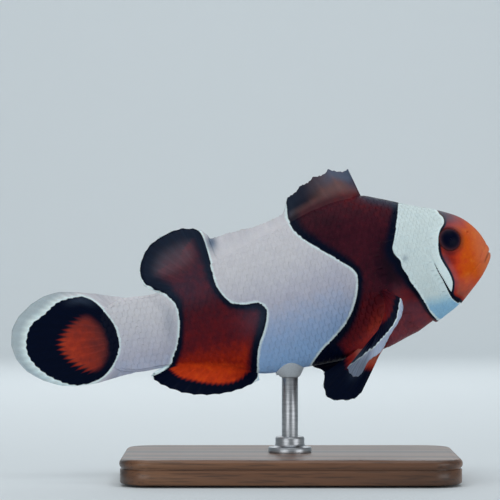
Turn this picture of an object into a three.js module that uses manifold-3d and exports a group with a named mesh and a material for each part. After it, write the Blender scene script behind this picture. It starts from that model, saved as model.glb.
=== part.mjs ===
// A clownfish as a still, life-size museum model, held over a flat base by one short rod.
//
// Frame: millimetres, +Z up, +X towards the head, the origin at the centre of the base's underside.
// The fish is drawn in its own coordinates first: s runs from the tip of the snout to the tail,
// y to the fish's left and h up. place() then bends it gently, pitches it nose up and lifts it.

import * as THREE from 'three';
import { mergeVertices } from 'three/addons/utils/BufferGeometryUtils.js';
import Module from 'manifold-3d';

const wasm = await Module();
wasm.setup();

// Driving dimensions.
const TOTAL_LENGTH = 90;
const STALK_END = 70;
const PITCH = THREE.MathUtils.degToRad(13);
const SNOUT = { x: 37.1, z: 42 };
const TAIL_SWING = -4;
const SWING_POWER = 2.4;
const GAP = 0.3;
const FIN_THICKNESS = 0.6;
const FIN_SINK = 1.2;

const STAND = { length: 62, width: 40, height: 5, corner: 6, bevel: 0.8 };
const ROD_RADIUS = 1.5;
const ROD_AT = 41.1;
const COLLAR = { radius: 4, height: 3 };
const PAD = { radius: 2.6, drop: 1.3 };

// Body outline: [s, height or half-width]. The steps are short at the blunt snout.
const BACK = [
  [0, 0.4], [0.4, 2.4], [1, 4], [2.1, 5.8], [3.5, 7.4], [7.3, 9.8], [12.5, 12], [17.6, 14.4],
  [21, 15.8], [26, 16.2], [31, 15.4], [36, 14], [43, 12.3], [50.3, 10.3], [57, 7.9], [62, 6.7],
  [STALK_END, 7],
];
const BELLY = [
  [0, -0.3], [0.4, -1.6], [1.3, -2.9], [2.8, -4.4], [4.7, -6], [8.5, -8.6], [12.4, -10.3],
  [17.9, -11.7], [24, -13.2], [31, -13.3], [40, -12.9], [46, -12.4], [51, -10.6], [57.2, -8.6],
  [62.4, -7.3], [STALK_END, -6.7],
];
const HALF_WIDTH = [
  [0, 0.5], [0.4, 1.5], [1, 2.2], [2.1, 3], [3.5, 3.7], [6.4, 4.9], [10, 5.9], [15, 6.6],
  [21, 6.8], [28, 6.6], [36, 6], [45, 4.9], [52, 3.9], [60, 2.6], [66, 1.8], [STALK_END, 1.2],
];
// How sharp each section is at the back and at the belly: under 1 is blunt, over 1 is keeled.
const BACK_KEEL = [[0, 0.8], [8, 0.78], [16, 0.9], [24, 1.1], [50, 1.05], [STALK_END, 0.9]];
const BELLY_KEEL = [[0, 0.85], [8, 0.85], [16, 0.82], [30, 0.8], [50, 1], [STALK_END, 0.9]];
const WIDEST_LEVEL = 0.47;

// Where the body is divided.
const GILL_OPENING = [
  [14.9, 22], [15.3, 12.4], [17.6, 4.3], [16.8, 0.6], [16.1, -1.9], [15.2, -4.5], [14.2, -7.4],
  [12.8, -10.3], [11.8, -18],
];
const CHEEK_EDGE = [
  [15.6, 5.8], [13.2, 5.4], [11.6, 3.7], [10.9, 1.2], [10.4, -1.2], [9.5, -4.1], [8.8, -6.6], [10.6, -9.4],
];
const COVER_BACK = [[18.6, 4.8], [18, 0], [16, -4.6], [15, -9.2]];
const COVER_THICKNESS = 1.6;
const COVER_FROM_KEEL = 1.2;
const JAW_EDGE = [[-2, 0.3], [0, -0.35], [2.1, -1.6], [4.2, -2.7], [5.8, -4.6], [7.4, -9.5], [-2, -9.5]];
const TRUNK_SPLIT = 46;
const STALK_START = 60.5;

const EYE = { s: 7, h: 4.05, radius: 2.45, front: 1, behind: 2, sink: 0.4, forward: 0.2, up: 0.12 };

// Fins: where the first and the last ray stand on the body, and the outline that the tips follow.
const SPINY_DORSAL = {
  root: [20.7, 48.7],
  tips: [
    [22.2, 21.1], [25.8, 21.9], [28.9, 21.1], [31.6, 20], [34.5, 18.4], [35.7, 15.8], [38.4, 15],
    [41.2, 14.6], [44, 14.6], [46.8, 14.5], [49.4, 14.2],
  ],
  membraneDip: 0.6,
};
const SOFT_DORSAL = {
  rays: 14,
  root: [49.2, 59.6],
  tips: [[49.9, 14.2], [51.6, 16.4], [56, 17.4], [61.1, 15.8], [63.9, 12.4], [64.1, 9], [62.2, 7.2]],
};
const ANAL = {
  rays: 13,
  root: [46.9, 61.4],
  tips: [
    [47, -13.4], [50.9, -14.3], [55.5, -14.2], [60.5, -12.9], [64.6, -10.4], [66.3, -8.2], [64.2, -7.4],
  ],
};
const TAIL = {
  rays: 19,
  rootHeights: [5.6, -5.3],
  rootRounding: 1.6,
  tips: [
    [67.3, 7], [70.4, 8.1], [74, 9.4], [79.9, 10.9], [84.7, 9.9], [88.8, 6.8], [TOTAL_LENGTH, 2.2],
    [88.1, -2.3], [83.2, -5.9], [77.5, -7.1], [72, -6.9], [67.6, -6.8],
  ],
};
// The pectoral rays turn from firstRay, straight out of the flank, to lastRay, along the slant.
const PECTORAL = {
  rays: 16,
  top: [20.6, -2],
  bottom: [19, -6.2],
  lengths: [[0, 11], [0.3, 16.5], [0.65, 15.2], [0.9, 15.6], [1, 14.6]],
  firstRay: -2,
  lastRay: 82,
  slant: [43, 32],
  lean: 10,
  curl: [5.5, 21],
};
const PELVIC = {
  root: [[22.2, -12.4], [26.2, -12.8]],
  tips: [[29.3, -19.8], [30.9, -20.6], [33, -20.4], [35.4, -19.5], [35.9, -17.4], [35.2, -14.6]],
  fromMiddle: 1.9,
  splay: 12,
  swing: { right: 0, left: 28 },
};

// A smooth curve through the points of a profile, worked in the square root of s, because the
// snout is blunt.
function profile(points) {
  const x = points.map(([s]) => Math.sqrt(s));
  const v = points.map(([, value]) => value);
  const slope = x.slice(1).map((_, i) => (v[i + 1] - v[i]) / (x[i + 1] - x[i]));
  const tangent = x.map((_, i) => {
    if (i === 0) return slope[0];
    if (i === x.length - 1) return slope[i - 1];
    const before = x[i] - x[i - 1];
    const after = x[i + 1] - x[i];
    return (slope[i - 1] * after + slope[i] * before) / (before + after);
  });
  return (s) => {
    const at = Math.sqrt(THREE.MathUtils.clamp(s, points[0][0], points[points.length - 1][0]));
    const i = Math.max(0, x.findLastIndex((value, k) => value <= at && k < x.length - 1));
    const span = x[i + 1] - x[i];
    const t = (at - x[i]) / span;
    const a = (1 + 2 * t) * (1 - t) ** 2;
    const b = t * (1 - t) ** 2;
    const c = t * t * (3 - 2 * t);
    const d = t * t * (t - 1);
    return a * v[i] + b * span * tangent[i] + c * v[i + 1] + d * span * tangent[i + 1];
  };
}

const back = profile(BACK);
const belly = profile(BELLY);
const halfWidth = profile(HALF_WIDTH);
const backKeel = profile(BACK_KEEL);
const bellyKeel = profile(BELLY_KEEL);

function swing(s) {
  const far = (t) => (Math.max(t, 0) / TOTAL_LENGTH) ** SWING_POWER;
  return TAIL_SWING * (far(s) - far(ROD_AT));
}

// Fish coordinates to the model's frame. A cutter is not bent, as its sides run along y.
function place(s, y, h, bent = true) {
  return new THREE.Vector3(
    SNOUT.x - s * Math.cos(PITCH) - h * Math.sin(PITCH),
    y + (bent ? swing(s) : 0),
    SNOUT.z - s * Math.sin(PITCH) + h * Math.cos(PITCH),
  );
}

function bodyPoint(s, turn, grow) {
  const top = back(s);
  const bottom = belly(s);
  const level = bottom + WIDEST_LEVEL * (top - bottom);
  const keel = Math.sin(turn) > 0 ? backKeel(s) : bellyKeel(s);
  const reach = Math.sin(turn) > 0 ? top - level + grow : level - bottom + grow;
  const side = Math.abs(Math.cos(turn)) < 1e-9 ? 0 : Math.sign(Math.cos(turn));
  const y = side * (halfWidth(s) + grow) * Math.abs(Math.cos(turn)) ** keel;
  const along = s + grow * (2 * s / STALK_END - 1);
  return place(along, y, level + reach * Math.sin(turn));
}

function geometryFrom(vertices, faces) {
  const geometry = new THREE.BufferGeometry();
  const numbers = vertices.flatMap((vertex) => vertex.toArray());
  geometry.setAttribute('position', new THREE.Float32BufferAttribute(numbers, 3));
  geometry.setIndex(faces.flat());
  return geometry;
}

// The whole body as one loft, from the snout to the end of the tail stalk. grow moves the
// surface out, or in where it is negative.
const STATIONS = 38;
const AROUND = 28;

function bodyLoft(grow = 0) {
  const vertices = [place(-grow, 0, 0)];
  for (let i = 1; i <= STATIONS; i += 1) {
    const s = STALK_END * (i / STATIONS) ** 1.6;
    for (let j = 0; j < AROUND; j += 1) {
      vertices.push(bodyPoint(s, (2 * Math.PI * j) / AROUND, grow));
    }
  }
  vertices.push(place(STALK_END + grow, 0, 0.2));
  const faces = [];
  const last = vertices.length - 1;
  const at = (i, j) => 1 + (i - 1) * AROUND + (j % AROUND);
  for (let j = 0; j < AROUND; j += 1) {
    faces.push([0, at(1, j + 1), at(1, j)]);
    faces.push([last, at(STATIONS, j), at(STATIONS, j + 1)]);
    for (let i = 1; i < STATIONS; i += 1) {
      faces.push([at(i, j), at(i, j + 1), at(i + 1, j)]);
      faces.push([at(i + 1, j), at(i, j + 1), at(i + 1, j + 1)]);
    }
  }
  return toSolid(geometryFrom(vertices, faces));
}

// A closed three.js geometry as a manifold solid, with its faces turned outwards.
function toSolid(geometry) {
  geometry.deleteAttribute('normal');
  geometry.deleteAttribute('uv');
  const merged = mergeVertices(geometry, 1e-4);
  const position = merged.attributes.position;
  const index = Array.from(merged.index.array);
  const corners = [0, 1, 2].map(() => new THREE.Vector3());
  let volume = 0;
  const kept = [];
  for (let i = 0; i < index.length; i += 3) {
    const face = index.slice(i, i + 3);
    if (new Set(face).size < 3) continue;
    kept.push(face);
    corners.forEach((corner, k) => corner.fromBufferAttribute(position, face[k]));
    volume += corners[0].dot(corners[1].clone().cross(corners[2]));
  }
  const outward = volume > 0 ? kept : kept.map(([a, b, c]) => [a, c, b]);
  return new wasm.Manifold(new wasm.Mesh({
    numProp: 3,
    vertProperties: new Float32Array(position.array),
    triVerts: new Uint32Array(outward.flat()),
  }));
}

function toGeometry(solid) {
  const mesh = solid.getMesh();
  const geometry = new THREE.BufferGeometry();
  geometry.setAttribute('position', new THREE.BufferAttribute(new Float32Array(mesh.vertProperties), 3));
  geometry.setIndex(new THREE.BufferAttribute(new Uint32Array(mesh.triVerts), 1));
  geometry.computeVertexNormals();
  return geometry;
}

// A block seen from the side as a closed outline in s and h, and reaching between two widths.
const BLOCK_REACH = 30;

function block(outline, fromY = -BLOCK_REACH, toY = BLOCK_REACH) {
  const shape = new THREE.Shape(outline.map(([s, h]) => new THREE.Vector2(s, h)));
  const geometry = new THREE.ExtrudeGeometry(shape, { depth: toY - fromY, bevelEnabled: false });
  const position = geometry.attributes.position;
  for (let i = 0; i < position.count; i += 1) {
    const p = place(position.getX(i), fromY + position.getZ(i), position.getY(i), false);
    position.setXYZ(i, p.x, p.y, p.z);
  }
  return toSolid(geometry);
}

// A line moved sideways by a distance: to its right-hand side as it is followed.
function beside(line, distance, closed = false) {
  const n = line.length;
  return line.map(([s, h], i) => {
    const [s0, h0] = line[closed ? (i + n - 1) % n : Math.max(i - 1, 0)];
    const [s1, h1] = line[closed ? (i + 1) % n : Math.min(i + 1, n - 1)];
    const length = Math.hypot(s1 - s0, h1 - h0);
    return [s + (distance * (h1 - h0)) / length, h - (distance * (s1 - s0)) / length];
  });
}

// What lies between two lines that both run down across the body.
function between(frontLine, rearLine) {
  return block([...frontLine, ...[...rearLine].reverse()]);
}

const upright = (s) => [[s, 30], [s, -30]];

const parts = {};
const wholeBody = bodyLoft();
const clearBody = bodyLoft(GAP);

// Eyeballs: flatter in front than behind, looking out of the cheek, a little forward and up.
function eyeball(side, grow = 0) {
  const ball = new THREE.SphereGeometry(1, 18, 11);
  const position = ball.attributes.position;
  for (let i = 0; i < position.count; i += 1) {
    const depth = position.getY(i) * side > 0 ? EYE.front : EYE.behind;
    position.setY(i, position.getY(i) * (depth + grow));
  }
  ball.scale(EYE.radius + grow, 1, EYE.radius + grow);
  ball.rotateZ(-side * EYE.forward);
  ball.rotateX(side * EYE.up);
  ball.rotateY(-PITCH);
  const level = belly(EYE.s) + WIDEST_LEVEL * (back(EYE.s) - belly(EYE.s));
  const rise = (EYE.h - level) / (back(EYE.s) - level);
  const cheek = halfWidth(EYE.s) * Math.sqrt(1 - rise * rise) ** backKeel(EYE.s);
  const centre = place(EYE.s, side * (cheek - EYE.sink), EYE.h);
  ball.translate(centre.x, centre.y, centre.z);
  return toSolid(ball);
}

// Gill covers: plates over each side of the head, behind the cheek.
function gillCover(side, grow = 0) {
  const outline = beside([...CHEEK_EDGE, ...[...COVER_BACK].reverse()], grow, true);
  const near = COVER_FROM_KEEL - grow;
  const plate = side > 0 ? block(outline, near, BLOCK_REACH) : block(outline, -BLOCK_REACH, -near);
  return plate.subtract(bodyLoft(-COVER_THICKNESS - grow));
}

const headFront = [[-6, 22], [-6, -18]];
const headSpace = between(headFront, beside(GILL_OPENING, GAP / 2));
let head = wholeBody.intersect(headSpace);
for (const [name, side] of [['left', 1], ['right', -1]]) {
  parts[`gill_cover_${name}`] = head.intersect(gillCover(side));
  parts[`eye_${name}`] = eyeball(side);
}
for (const side of [1, -1]) {
  head = head.subtract(gillCover(side, GAP)).subtract(eyeball(side, GAP));
}
parts.lower_jaw = wholeBody.intersect(block(JAW_EDGE));
parts.head = head.subtract(block(beside(JAW_EDGE, -GAP, true)));

// Trunk and tail stalk.
parts.trunk_front = wholeBody.intersect(
  between(beside(GILL_OPENING, -GAP / 2), upright(TRUNK_SPLIT - GAP / 2)),
);
parts.trunk_rear = wholeBody.intersect(
  between(upright(TRUNK_SPLIT + GAP / 2), upright(STALK_START - GAP / 2)),
);
parts.tail_stalk = wholeBody.intersect(
  between(upright(STALK_START + GAP / 2), upright(STALK_END + 5)),
);

// A fin is a thin fan: column u runs along its root from 0 to 1, and v from the root to the tips.
// sheet(u, v) gives the middle of its thickness in fish coordinates.
function fin(columns, rows, sheet) {
  const vertices = [];
  const step = 1e-3;
  const point = (u, v) => new THREE.Vector3(...sheet(u, v));
  for (const face of [1, -1]) {
    for (let i = 0; i <= columns; i += 1) {
      for (let j = 0; j <= rows; j += 1) {
        const u = i / columns;
        const v = j / rows;
        const du = point(Math.min(u + step, 1), v).sub(point(Math.max(u - step, 0), v));
        const dv = point(u, Math.min(v + step, 1)).sub(point(u, Math.max(v - step, 0)));
        const normal = du.cross(dv).normalize().multiplyScalar((face * FIN_THICKNESS) / 2);
        const p = point(u, v).add(normal);
        vertices.push(place(p.x, p.y, p.z));
      }
    }
  }
  const layer = (columns + 1) * (rows + 1);
  const at = (i, j, face) => face * layer + i * (rows + 1) + j;
  const faces = [];
  const quad = (a, b, c, d) => faces.push([a, b, c], [a, c, d]);
  for (let i = 0; i < columns; i += 1) {
    for (let j = 0; j < rows; j += 1) {
      quad(at(i, j, 0), at(i + 1, j, 0), at(i + 1, j + 1, 0), at(i, j + 1, 0));
      quad(at(i, j, 1), at(i, j + 1, 1), at(i + 1, j + 1, 1), at(i + 1, j, 1));
    }
  }
  for (let i = 0; i < columns; i += 1) {
    quad(at(i, 0, 0), at(i, 0, 1), at(i + 1, 0, 1), at(i + 1, 0, 0));
    quad(at(i, rows, 0), at(i + 1, rows, 0), at(i + 1, rows, 1), at(i, rows, 1));
  }
  for (let j = 0; j < rows; j += 1) {
    quad(at(0, j, 0), at(0, j + 1, 0), at(0, j + 1, 1), at(0, j, 1));
    quad(at(columns, j, 0), at(columns, j, 1), at(columns, j + 1, 1), at(columns, j + 1, 0));
  }
  return toSolid(geometryFrom(vertices, faces)).subtract(clearBody);
}

const mix = (a, b, t) => a + (b - a) * t;

// The outline that the tips follow, as a smooth curve.
function tipCurve(tips) {
  return new THREE.SplineCurve(tips.map(([s, h]) => new THREE.Vector2(s, h)));
}

// A fin on the midline whose root follows the back or the belly.
function medianFin(shape, surface, sink) {
  const curve = tipCurve(shape.tips);
  return fin(shape.rays, 4, (u, v) => {
    const s = mix(shape.root[0], shape.root[1], u);
    const tip = curve.getPoint(u);
    return [mix(s, tip.x, v), 0, mix(surface(s) + sink, tip.y, v)];
  });
}

// Spiny part of the dorsal fin: straight spines, with a dip in the membrane between each two.
const webs = SPINY_DORSAL.tips.length - 1;
parts.dorsal_fin_spiny = fin(webs * 2, 3, (u, v) => {
  const i = Math.min(Math.floor(u * webs), webs - 1);
  const t = u * webs - i;
  const [before, after] = SPINY_DORSAL.tips.slice(i, i + 2);
  const dip = SPINY_DORSAL.membraneDip * Math.sin(Math.PI * t);
  const root = mix(SPINY_DORSAL.root[0], SPINY_DORSAL.root[1], u);
  const tipS = mix(before[0], after[0], t);
  const tipH = mix(before[1], after[1], t) - dip;
  return [mix(root, tipS, v), 0, mix(back(root) - FIN_SINK, tipH, v)];
});

parts.dorsal_fin_soft = medianFin(SOFT_DORSAL, back, -FIN_SINK);
parts.anal_fin = medianFin(ANAL, belly, FIN_SINK);

// Tail fin: the rays fan out from the rounded end of the stalk.
const tailTips = tipCurve(TAIL.tips);
parts.tail_fin = fin(TAIL.rays, 6, (u, v) => {
  const tip = tailTips.getPoint(u);
  const rootH = mix(TAIL.rootHeights[0], TAIL.rootHeights[1], u);
  const rootS = STALK_END - FIN_SINK - TAIL.rootRounding * (2 * u - 1) ** 2;
  return [mix(rootS, tip.x, v), 0, mix(rootH, tip.y, v)];
});

// Pectoral fins: a fan that opens from straight out of the flank to down and back along it,
// leaning forward and curling forward at its edge.
const rayLength = profile(PECTORAL.lengths);
const radians = THREE.MathUtils.degToRad;

function pectoralFin(side) {
  return fin(PECTORAL.rays, 4, (u, v) => {
    const slant = radians(mix(...PECTORAL.slant, u * u));
    const down = new THREE.Vector3(Math.cos(slant), 0, -Math.sin(slant));
    const forward = new THREE.Vector3(-Math.sin(slant), 0, -Math.cos(slant));
    const curl = mix(...PECTORAL.curl, THREE.MathUtils.smoothstep(u, 0.5, 1));
    const rootS = mix(PECTORAL.top[0], PECTORAL.bottom[0], u);
    const rootH = mix(PECTORAL.top[1], PECTORAL.bottom[1], u);
    const length = rayLength(u) * v;
    const lean = radians(PECTORAL.lean + curl * v);
    const angle = radians(mix(PECTORAL.firstRay, PECTORAL.lastRay, u));
    const out = new THREE.Vector3(0, side * Math.cos(lean), 0).addScaledVector(forward, Math.sin(lean));
    const p = new THREE.Vector3(rootS, side * (halfWidth(rootS) - FIN_SINK), rootH);
    p.addScaledVector(out, length * Math.cos(angle)).addScaledVector(down, length * Math.sin(angle));
    return p.toArray();
  });
}

// Pelvic fins: a spine and five soft rays each, below the breast.
function pelvicFin(side, turnUp) {
  const turn = radians(turnUp);
  const [front, rear] = PELVIC.root;
  const curve = tipCurve(PELVIC.tips);
  return fin(10, 4, (u, v) => {
    const tip = curve.getPoint(u);
    const rootS = mix(front[0], rear[0], u);
    const rootH = mix(front[1], rear[1], u) + FIN_SINK;
    const ds = tip.x - front[0];
    const dh = tip.y - front[1];
    const tipS = front[0] + ds * Math.cos(turn) - dh * Math.sin(turn);
    const tipH = front[1] + ds * Math.sin(turn) + dh * Math.cos(turn);
    const reach = Math.hypot(tipS - rootS, tipH - rootH) * Math.sin(radians(PELVIC.splay));
    return [mix(rootS, tipS, v), side * (PELVIC.fromMiddle + reach * v), mix(rootH, tipH, v)];
  });
}

for (const [name, side] of [['left', 1], ['right', -1]]) {
  parts[`pectoral_fin_${name}`] = pectoralFin(side);
  parts[`pelvic_fin_${name}`] = pelvicFin(side, PELVIC.swing[name]);
}

// Stand: a flat base with rounded corners, a rod in a turned collar and a pad under the belly.
function roundedRectangle(length, width, corner) {
  const shape = new THREE.Shape();
  const x = length / 2;
  const y = width / 2;
  shape.moveTo(-x + corner, -y);
  shape.lineTo(x - corner, -y);
  shape.absarc(x - corner, -y + corner, corner, -Math.PI / 2, 0);
  shape.lineTo(x, y - corner);
  shape.absarc(x - corner, y - corner, corner, 0, Math.PI / 2);
  shape.lineTo(-x + corner, y);
  shape.absarc(-x + corner, y - corner, corner, Math.PI / 2, Math.PI);
  shape.lineTo(-x, -y + corner);
  shape.absarc(-x + corner, -y + corner, corner, Math.PI, 1.5 * Math.PI);
  return shape;
}

function turned(outline, segments = 24) {
  const geometry = new THREE.LatheGeometry(outline.map(([r, z]) => new THREE.Vector2(r, z)), segments);
  return geometry.rotateX(Math.PI / 2);
}

const bevel = STAND.bevel;
const plinthTop = roundedRectangle(STAND.length - 2 * bevel, STAND.width - 2 * bevel, STAND.corner - bevel);
const plinth = new THREE.ExtrudeGeometry(plinthTop, {
  depth: STAND.height - 2 * bevel,
  bevelSize: bevel,
  bevelThickness: bevel,
  bevelSegments: 1,
  curveSegments: 5,
});
parts.stand_base = toSolid(plinth.translate(0, 0, bevel));

const belowBelly = place(ROD_AT, 0, belly(ROD_AT)).z;
const collarBore = ROD_RADIUS + GAP;
parts.stand_collar = toSolid(turned([
  [collarBore, 0], [COLLAR.radius, 0], [COLLAR.radius, COLLAR.height * 0.5],
  [COLLAR.radius * 0.8, COLLAR.height], [collarBore, COLLAR.height], [collarBore, 0],
]).translate(0, 0, STAND.height));

const padBottom = belowBelly - PAD.drop;
const rodHeight = padBottom - GAP - STAND.height;
const rod = new THREE.CylinderGeometry(ROD_RADIUS, ROD_RADIUS, rodHeight, 20).rotateX(Math.PI / 2);
parts.stand_rod = toSolid(rod.translate(0, 0, STAND.height + rodHeight / 2));
parts.stand_pad = toSolid(turned([
  [0, 0], [PAD.radius * 0.7, 0], [PAD.radius, PAD.drop * 0.6], [PAD.radius, PAD.drop * 3], [0, PAD.drop * 3],
]).translate(0, 0, padBottom)).subtract(clearBody);

// Finishes.
const orange = { color: 0xc8541a, roughness: 0.45, metalness: 0 };
const maroon = { color: 0x55201f, roughness: 0.5, metalness: 0 };
const white = { color: 0xd9dde2, roughness: 0.4, metalness: 0 };
const black = { color: 0x10121c, roughness: 0.5, metalness: 0 };
const steel = { color: 0xb9bcc0, roughness: 0.3, metalness: 1 };
const walnut = { color: 0x5a3a26, roughness: 0.4, metalness: 0 };
const silicone = { color: 0xc4ccd2, roughness: 0.6, metalness: 0 };

const FINISH = {
  head: orange,
  lower_jaw: orange,
  gill_cover_left: white,
  gill_cover_right: white,
  trunk_front: white,
  trunk_rear: maroon,
  tail_stalk: white,
  dorsal_fin_spiny: maroon,
  dorsal_fin_soft: black,
  anal_fin: orange,
  tail_fin: orange,
  pectoral_fin_left: orange,
  pectoral_fin_right: orange,
  pelvic_fin_left: black,
  pelvic_fin_right: black,
  eye_left: black,
  eye_right: black,
  stand_base: walnut,
  stand_rod: steel,
  stand_collar: steel,
  stand_pad: silicone,
};

const clownfish = new THREE.Group();
for (const [name, finish] of Object.entries(FINISH)) {
  const mesh = new THREE.Mesh(toGeometry(parts[name]), new THREE.MeshStandardMaterial(finish));
  mesh.name = name;
  clownfish.add(mesh);
}

export default clownfish;
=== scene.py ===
"""A clownfish as a still, life-size museum model, on a walnut base with one steel rod.

The fish is drawn in its own coordinates, in millimetres: s runs from the tip of the snout to the
tail, y to the fish's left and h up. place() bends it gently, pitches it nose up, lifts it over the
base and turns it to the frame's metres.
"""

import math

import bpy
import numpy as np
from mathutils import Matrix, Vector


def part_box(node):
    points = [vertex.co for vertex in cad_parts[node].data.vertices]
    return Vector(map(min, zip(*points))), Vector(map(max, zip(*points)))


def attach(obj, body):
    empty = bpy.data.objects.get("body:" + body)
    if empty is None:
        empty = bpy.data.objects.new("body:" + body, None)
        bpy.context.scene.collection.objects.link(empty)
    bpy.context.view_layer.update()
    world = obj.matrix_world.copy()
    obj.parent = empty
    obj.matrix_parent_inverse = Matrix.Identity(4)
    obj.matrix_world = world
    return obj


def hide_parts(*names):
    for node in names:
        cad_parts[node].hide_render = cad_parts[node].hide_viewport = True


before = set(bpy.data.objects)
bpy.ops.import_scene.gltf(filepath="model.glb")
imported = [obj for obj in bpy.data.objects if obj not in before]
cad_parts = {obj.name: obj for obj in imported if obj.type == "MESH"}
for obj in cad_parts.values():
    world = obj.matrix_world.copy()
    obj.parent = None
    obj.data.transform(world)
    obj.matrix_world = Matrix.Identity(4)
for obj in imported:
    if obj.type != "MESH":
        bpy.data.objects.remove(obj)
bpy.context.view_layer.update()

# ---------------------------------------------------------------- sizes, in millimetres

MM = 0.001
TOTAL_LENGTH = 90
STALK_END = 70
BODY_END = 73.6
PITCH = math.radians(13)
SNOUT = (37.1, 42)
TAIL_SWING = -4
SWING_POWER = 2.4
ROD_AT = 41.1
FIN_SINK = 1.2
COAT_DEPTH = 0.12

BACK = [
    (0, 0.4), (0.4, 2.4), (1, 4), (2.1, 5.8), (3.5, 7.4), (7.3, 9.8), (12.5, 12), (17.6, 14.4),
    (21, 15.8), (26, 16.2), (31, 15.4), (36, 14), (43, 12.3), (50.3, 10.3), (57, 7.9), (62, 6.7),
    (STALK_END, 6.8), (72, 6), (BODY_END, 4.6),
]
BELLY = [
    (0, -0.3), (0.4, -1.6), (1.3, -2.9), (2.8, -4.4), (4.7, -6), (8.5, -8.6), (12.4, -10.3),
    (17.9, -11.7), (24, -13.2), (31, -13.3), (40, -12.9), (46, -12.4), (51, -10.6), (57.2, -8.6),
    (62.4, -7.3), (STALK_END, -6.5), (72, -5.7), (BODY_END, -4.4),
]
HALF_WIDTH = [
    (0, 0.5), (0.4, 1.5), (1, 2.2), (2.1, 3), (3.5, 3.7), (6.4, 4.9), (10, 5.9), (15, 6.6),
    (21, 6.8), (28, 6.6), (36, 6), (45, 4.9), (52, 3.9), (60, 2.6), (66, 1.8), (STALK_END, 1.2),
    (72, 0.65), (BODY_END, 0.3),
]
# How sharp each section is at the back and at the belly: under 1 is blunt, over 1 is keeled.
BACK_KEEL = [(0, 0.8), (8, 0.78), (16, 0.9), (24, 1.1), (50, 1.05), (STALK_END, 0.9), (BODY_END, 0.8)]
BELLY_KEEL = [(0, 0.85), (8, 0.85), (16, 0.82), (30, 0.8), (50, 1), (STALK_END, 0.9), (BODY_END, 0.8)]
WIDEST_LEVEL = 0.47

EYE = {"s": 7, "h": 4.15, "radius": 2.15, "swell": 0.8, "sink": 0.26, "depth": 1.3}

SPINY_DORSAL = {
    "root": (20.7, 49.5),
    "tips": [
        (22.2, 21.1), (25.8, 21.9), (28.9, 21.1), (31.6, 20), (34.5, 18.4), (35.7, 15.8), (38.4, 15),
        (41.2, 14.6), (44, 14.6), (46.8, 14.5), (50.1, 14.2),
    ],
}
SOFT_DORSAL = {
    "rays": 14,
    "root": (49.2, 59.6),
    "tips": [
        (49.9, 14.2), (51.6, 16.4), (56, 17.4), (61.1, 15.8), (63.9, 12.4), (64.1, 9), (62.2, 7.2),
    ],
}
ANAL = {
    "rays": 13,
    "root": (46.9, 61.4),
    "tips": [
        (47, -13.4), (50.9, -14.3), (55.5, -14.2), (60.5, -12.9), (64.6, -10.4), (66.3, -8.2), (64.2, -7.4),
    ],
}
TAIL = {
    "rays": 19,
    "root_heights": (5.6, -5.3),
    "root_rounding": 1.6,
    "tips": [
        (67.3, 7), (70.4, 8.1), (74, 9.4), (79.9, 10.9), (84.7, 9.9), (88.8, 6.8), (TOTAL_LENGTH, 2.2),
        (88.1, -2.3), (83.2, -5.9), (77.5, -7.1), (72, -6.9), (67.6, -6.8),
    ],
}
PECTORAL = {
    "rays": 16,
    "top": (21.2, -2),
    "bottom": (19, -6.2),
    "lengths": [(0, 11), (0.3, 16.5), (0.65, 15.2), (0.9, 15.6), (1, 14.6)],
    "first_ray": -2,
    "last_ray": 82,
    "slant": (43, 32),
    "lean": 10,
    "curl": (5.5, 21),
    "pale_streak": (23.3, -9.9),
}
PELVIC = {
    "rays": 6,
    "root": ((22.2, -12.4), (26.2, -12.8)),
    "tips": [(29.3, -19.8), (30.9, -20.6), (33, -20.4), (35.4, -19.5), (35.9, -17.4), (35.2, -14.6)],
    "from_middle": 1.9,
    "splay": 12,
    "turn_up": {"right": 0, "left": 28},
}

BASE = {"length": 62, "width": 40, "height": 5, "corner": 6}
ROD_RADIUS = 1.5
COLLAR = {"radius": 4, "height": 3}
PAD_RADIUS = 2.6
FOOT_INSET = 6
FOOT_OUTLINE = [(2.7, 0), (2.9, 0.1), (2.9, 0.3), (2.7, 0.45)]

# Edges of the markings, each point as (s, h, width of the black border there).
FACE_EDGE = [
    (7.8, 13, 0.8), (7.8, 9.6, 0.7), (7.2, 8.3, 0.5), (7.4, 7.2, 0.45), (8.4, 6.2, 0.45), (9.15, 4.5, 0.5),
    (9.55, 2.5, 0.5), (9.4, 0.8, 0.5), (8.6, -1.6, 0.45), (8.3, -3.4, 0.45), (8.6, -4.7, 0.45),
    (9, -5.7, 0.5), (8.7, -6.6, 0.55), (7.9, -7.3, 0.6), (7.4, -7.9, 0.5), (6.6, -9.4, 0.4), (-4, -11, 0.3),
    (-4, 13, 0.3),
]
FRONT_PATCH = [
    (13, 16, 0.8), (14.5, 12.6, 0.8), (15.9, 9, 0.9), (17.1, 6.3, 1), (17.7, 4.9, 1.1), (17.5, 3.6, 1.1),
    (16.8, 2.4, 1.1), (16.8, 1.1, 1), (16.1, -0.6, 0.9), (15.9, -1.8, 0.8), (15, -3.4, 0.7),
    (14.4, -5, 0.6), (13.9, -6.8, 0.45), (13.5, -8.1, 0.35), (12.6, -9.6, 0.25), (11.6, -10.5, 0.2),
    (10.8, -12.5, 0.2), (16, -20, 0.3), (34, -20, 0.5),
    (38, -16, 4), (37, -13.4, 4), (36.4, -12.4, 3.4), (34.4, -10.5, 2), (32.3, -9.1, 1.2),
    (29.8, -7.3, 1), (28, -5.5, 0.9), (26.6, -3.4, 0.8), (25.6, -1.2, 0.7), (25, 1.2, 0.7),
    (25.6, 2.9, 0.8), (27.4, 4.8, 0.9), (29.8, 7.1, 1), (32.1, 9.3, 1.1), (34.1, 11.7, 1.2),
    (34.9, 14, 1.3), (35.1, 15.5, 1.4), (34.6, 18.8, 1.5), (34.6, 24, 1.5), (20, 26, 0.5),
]
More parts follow.
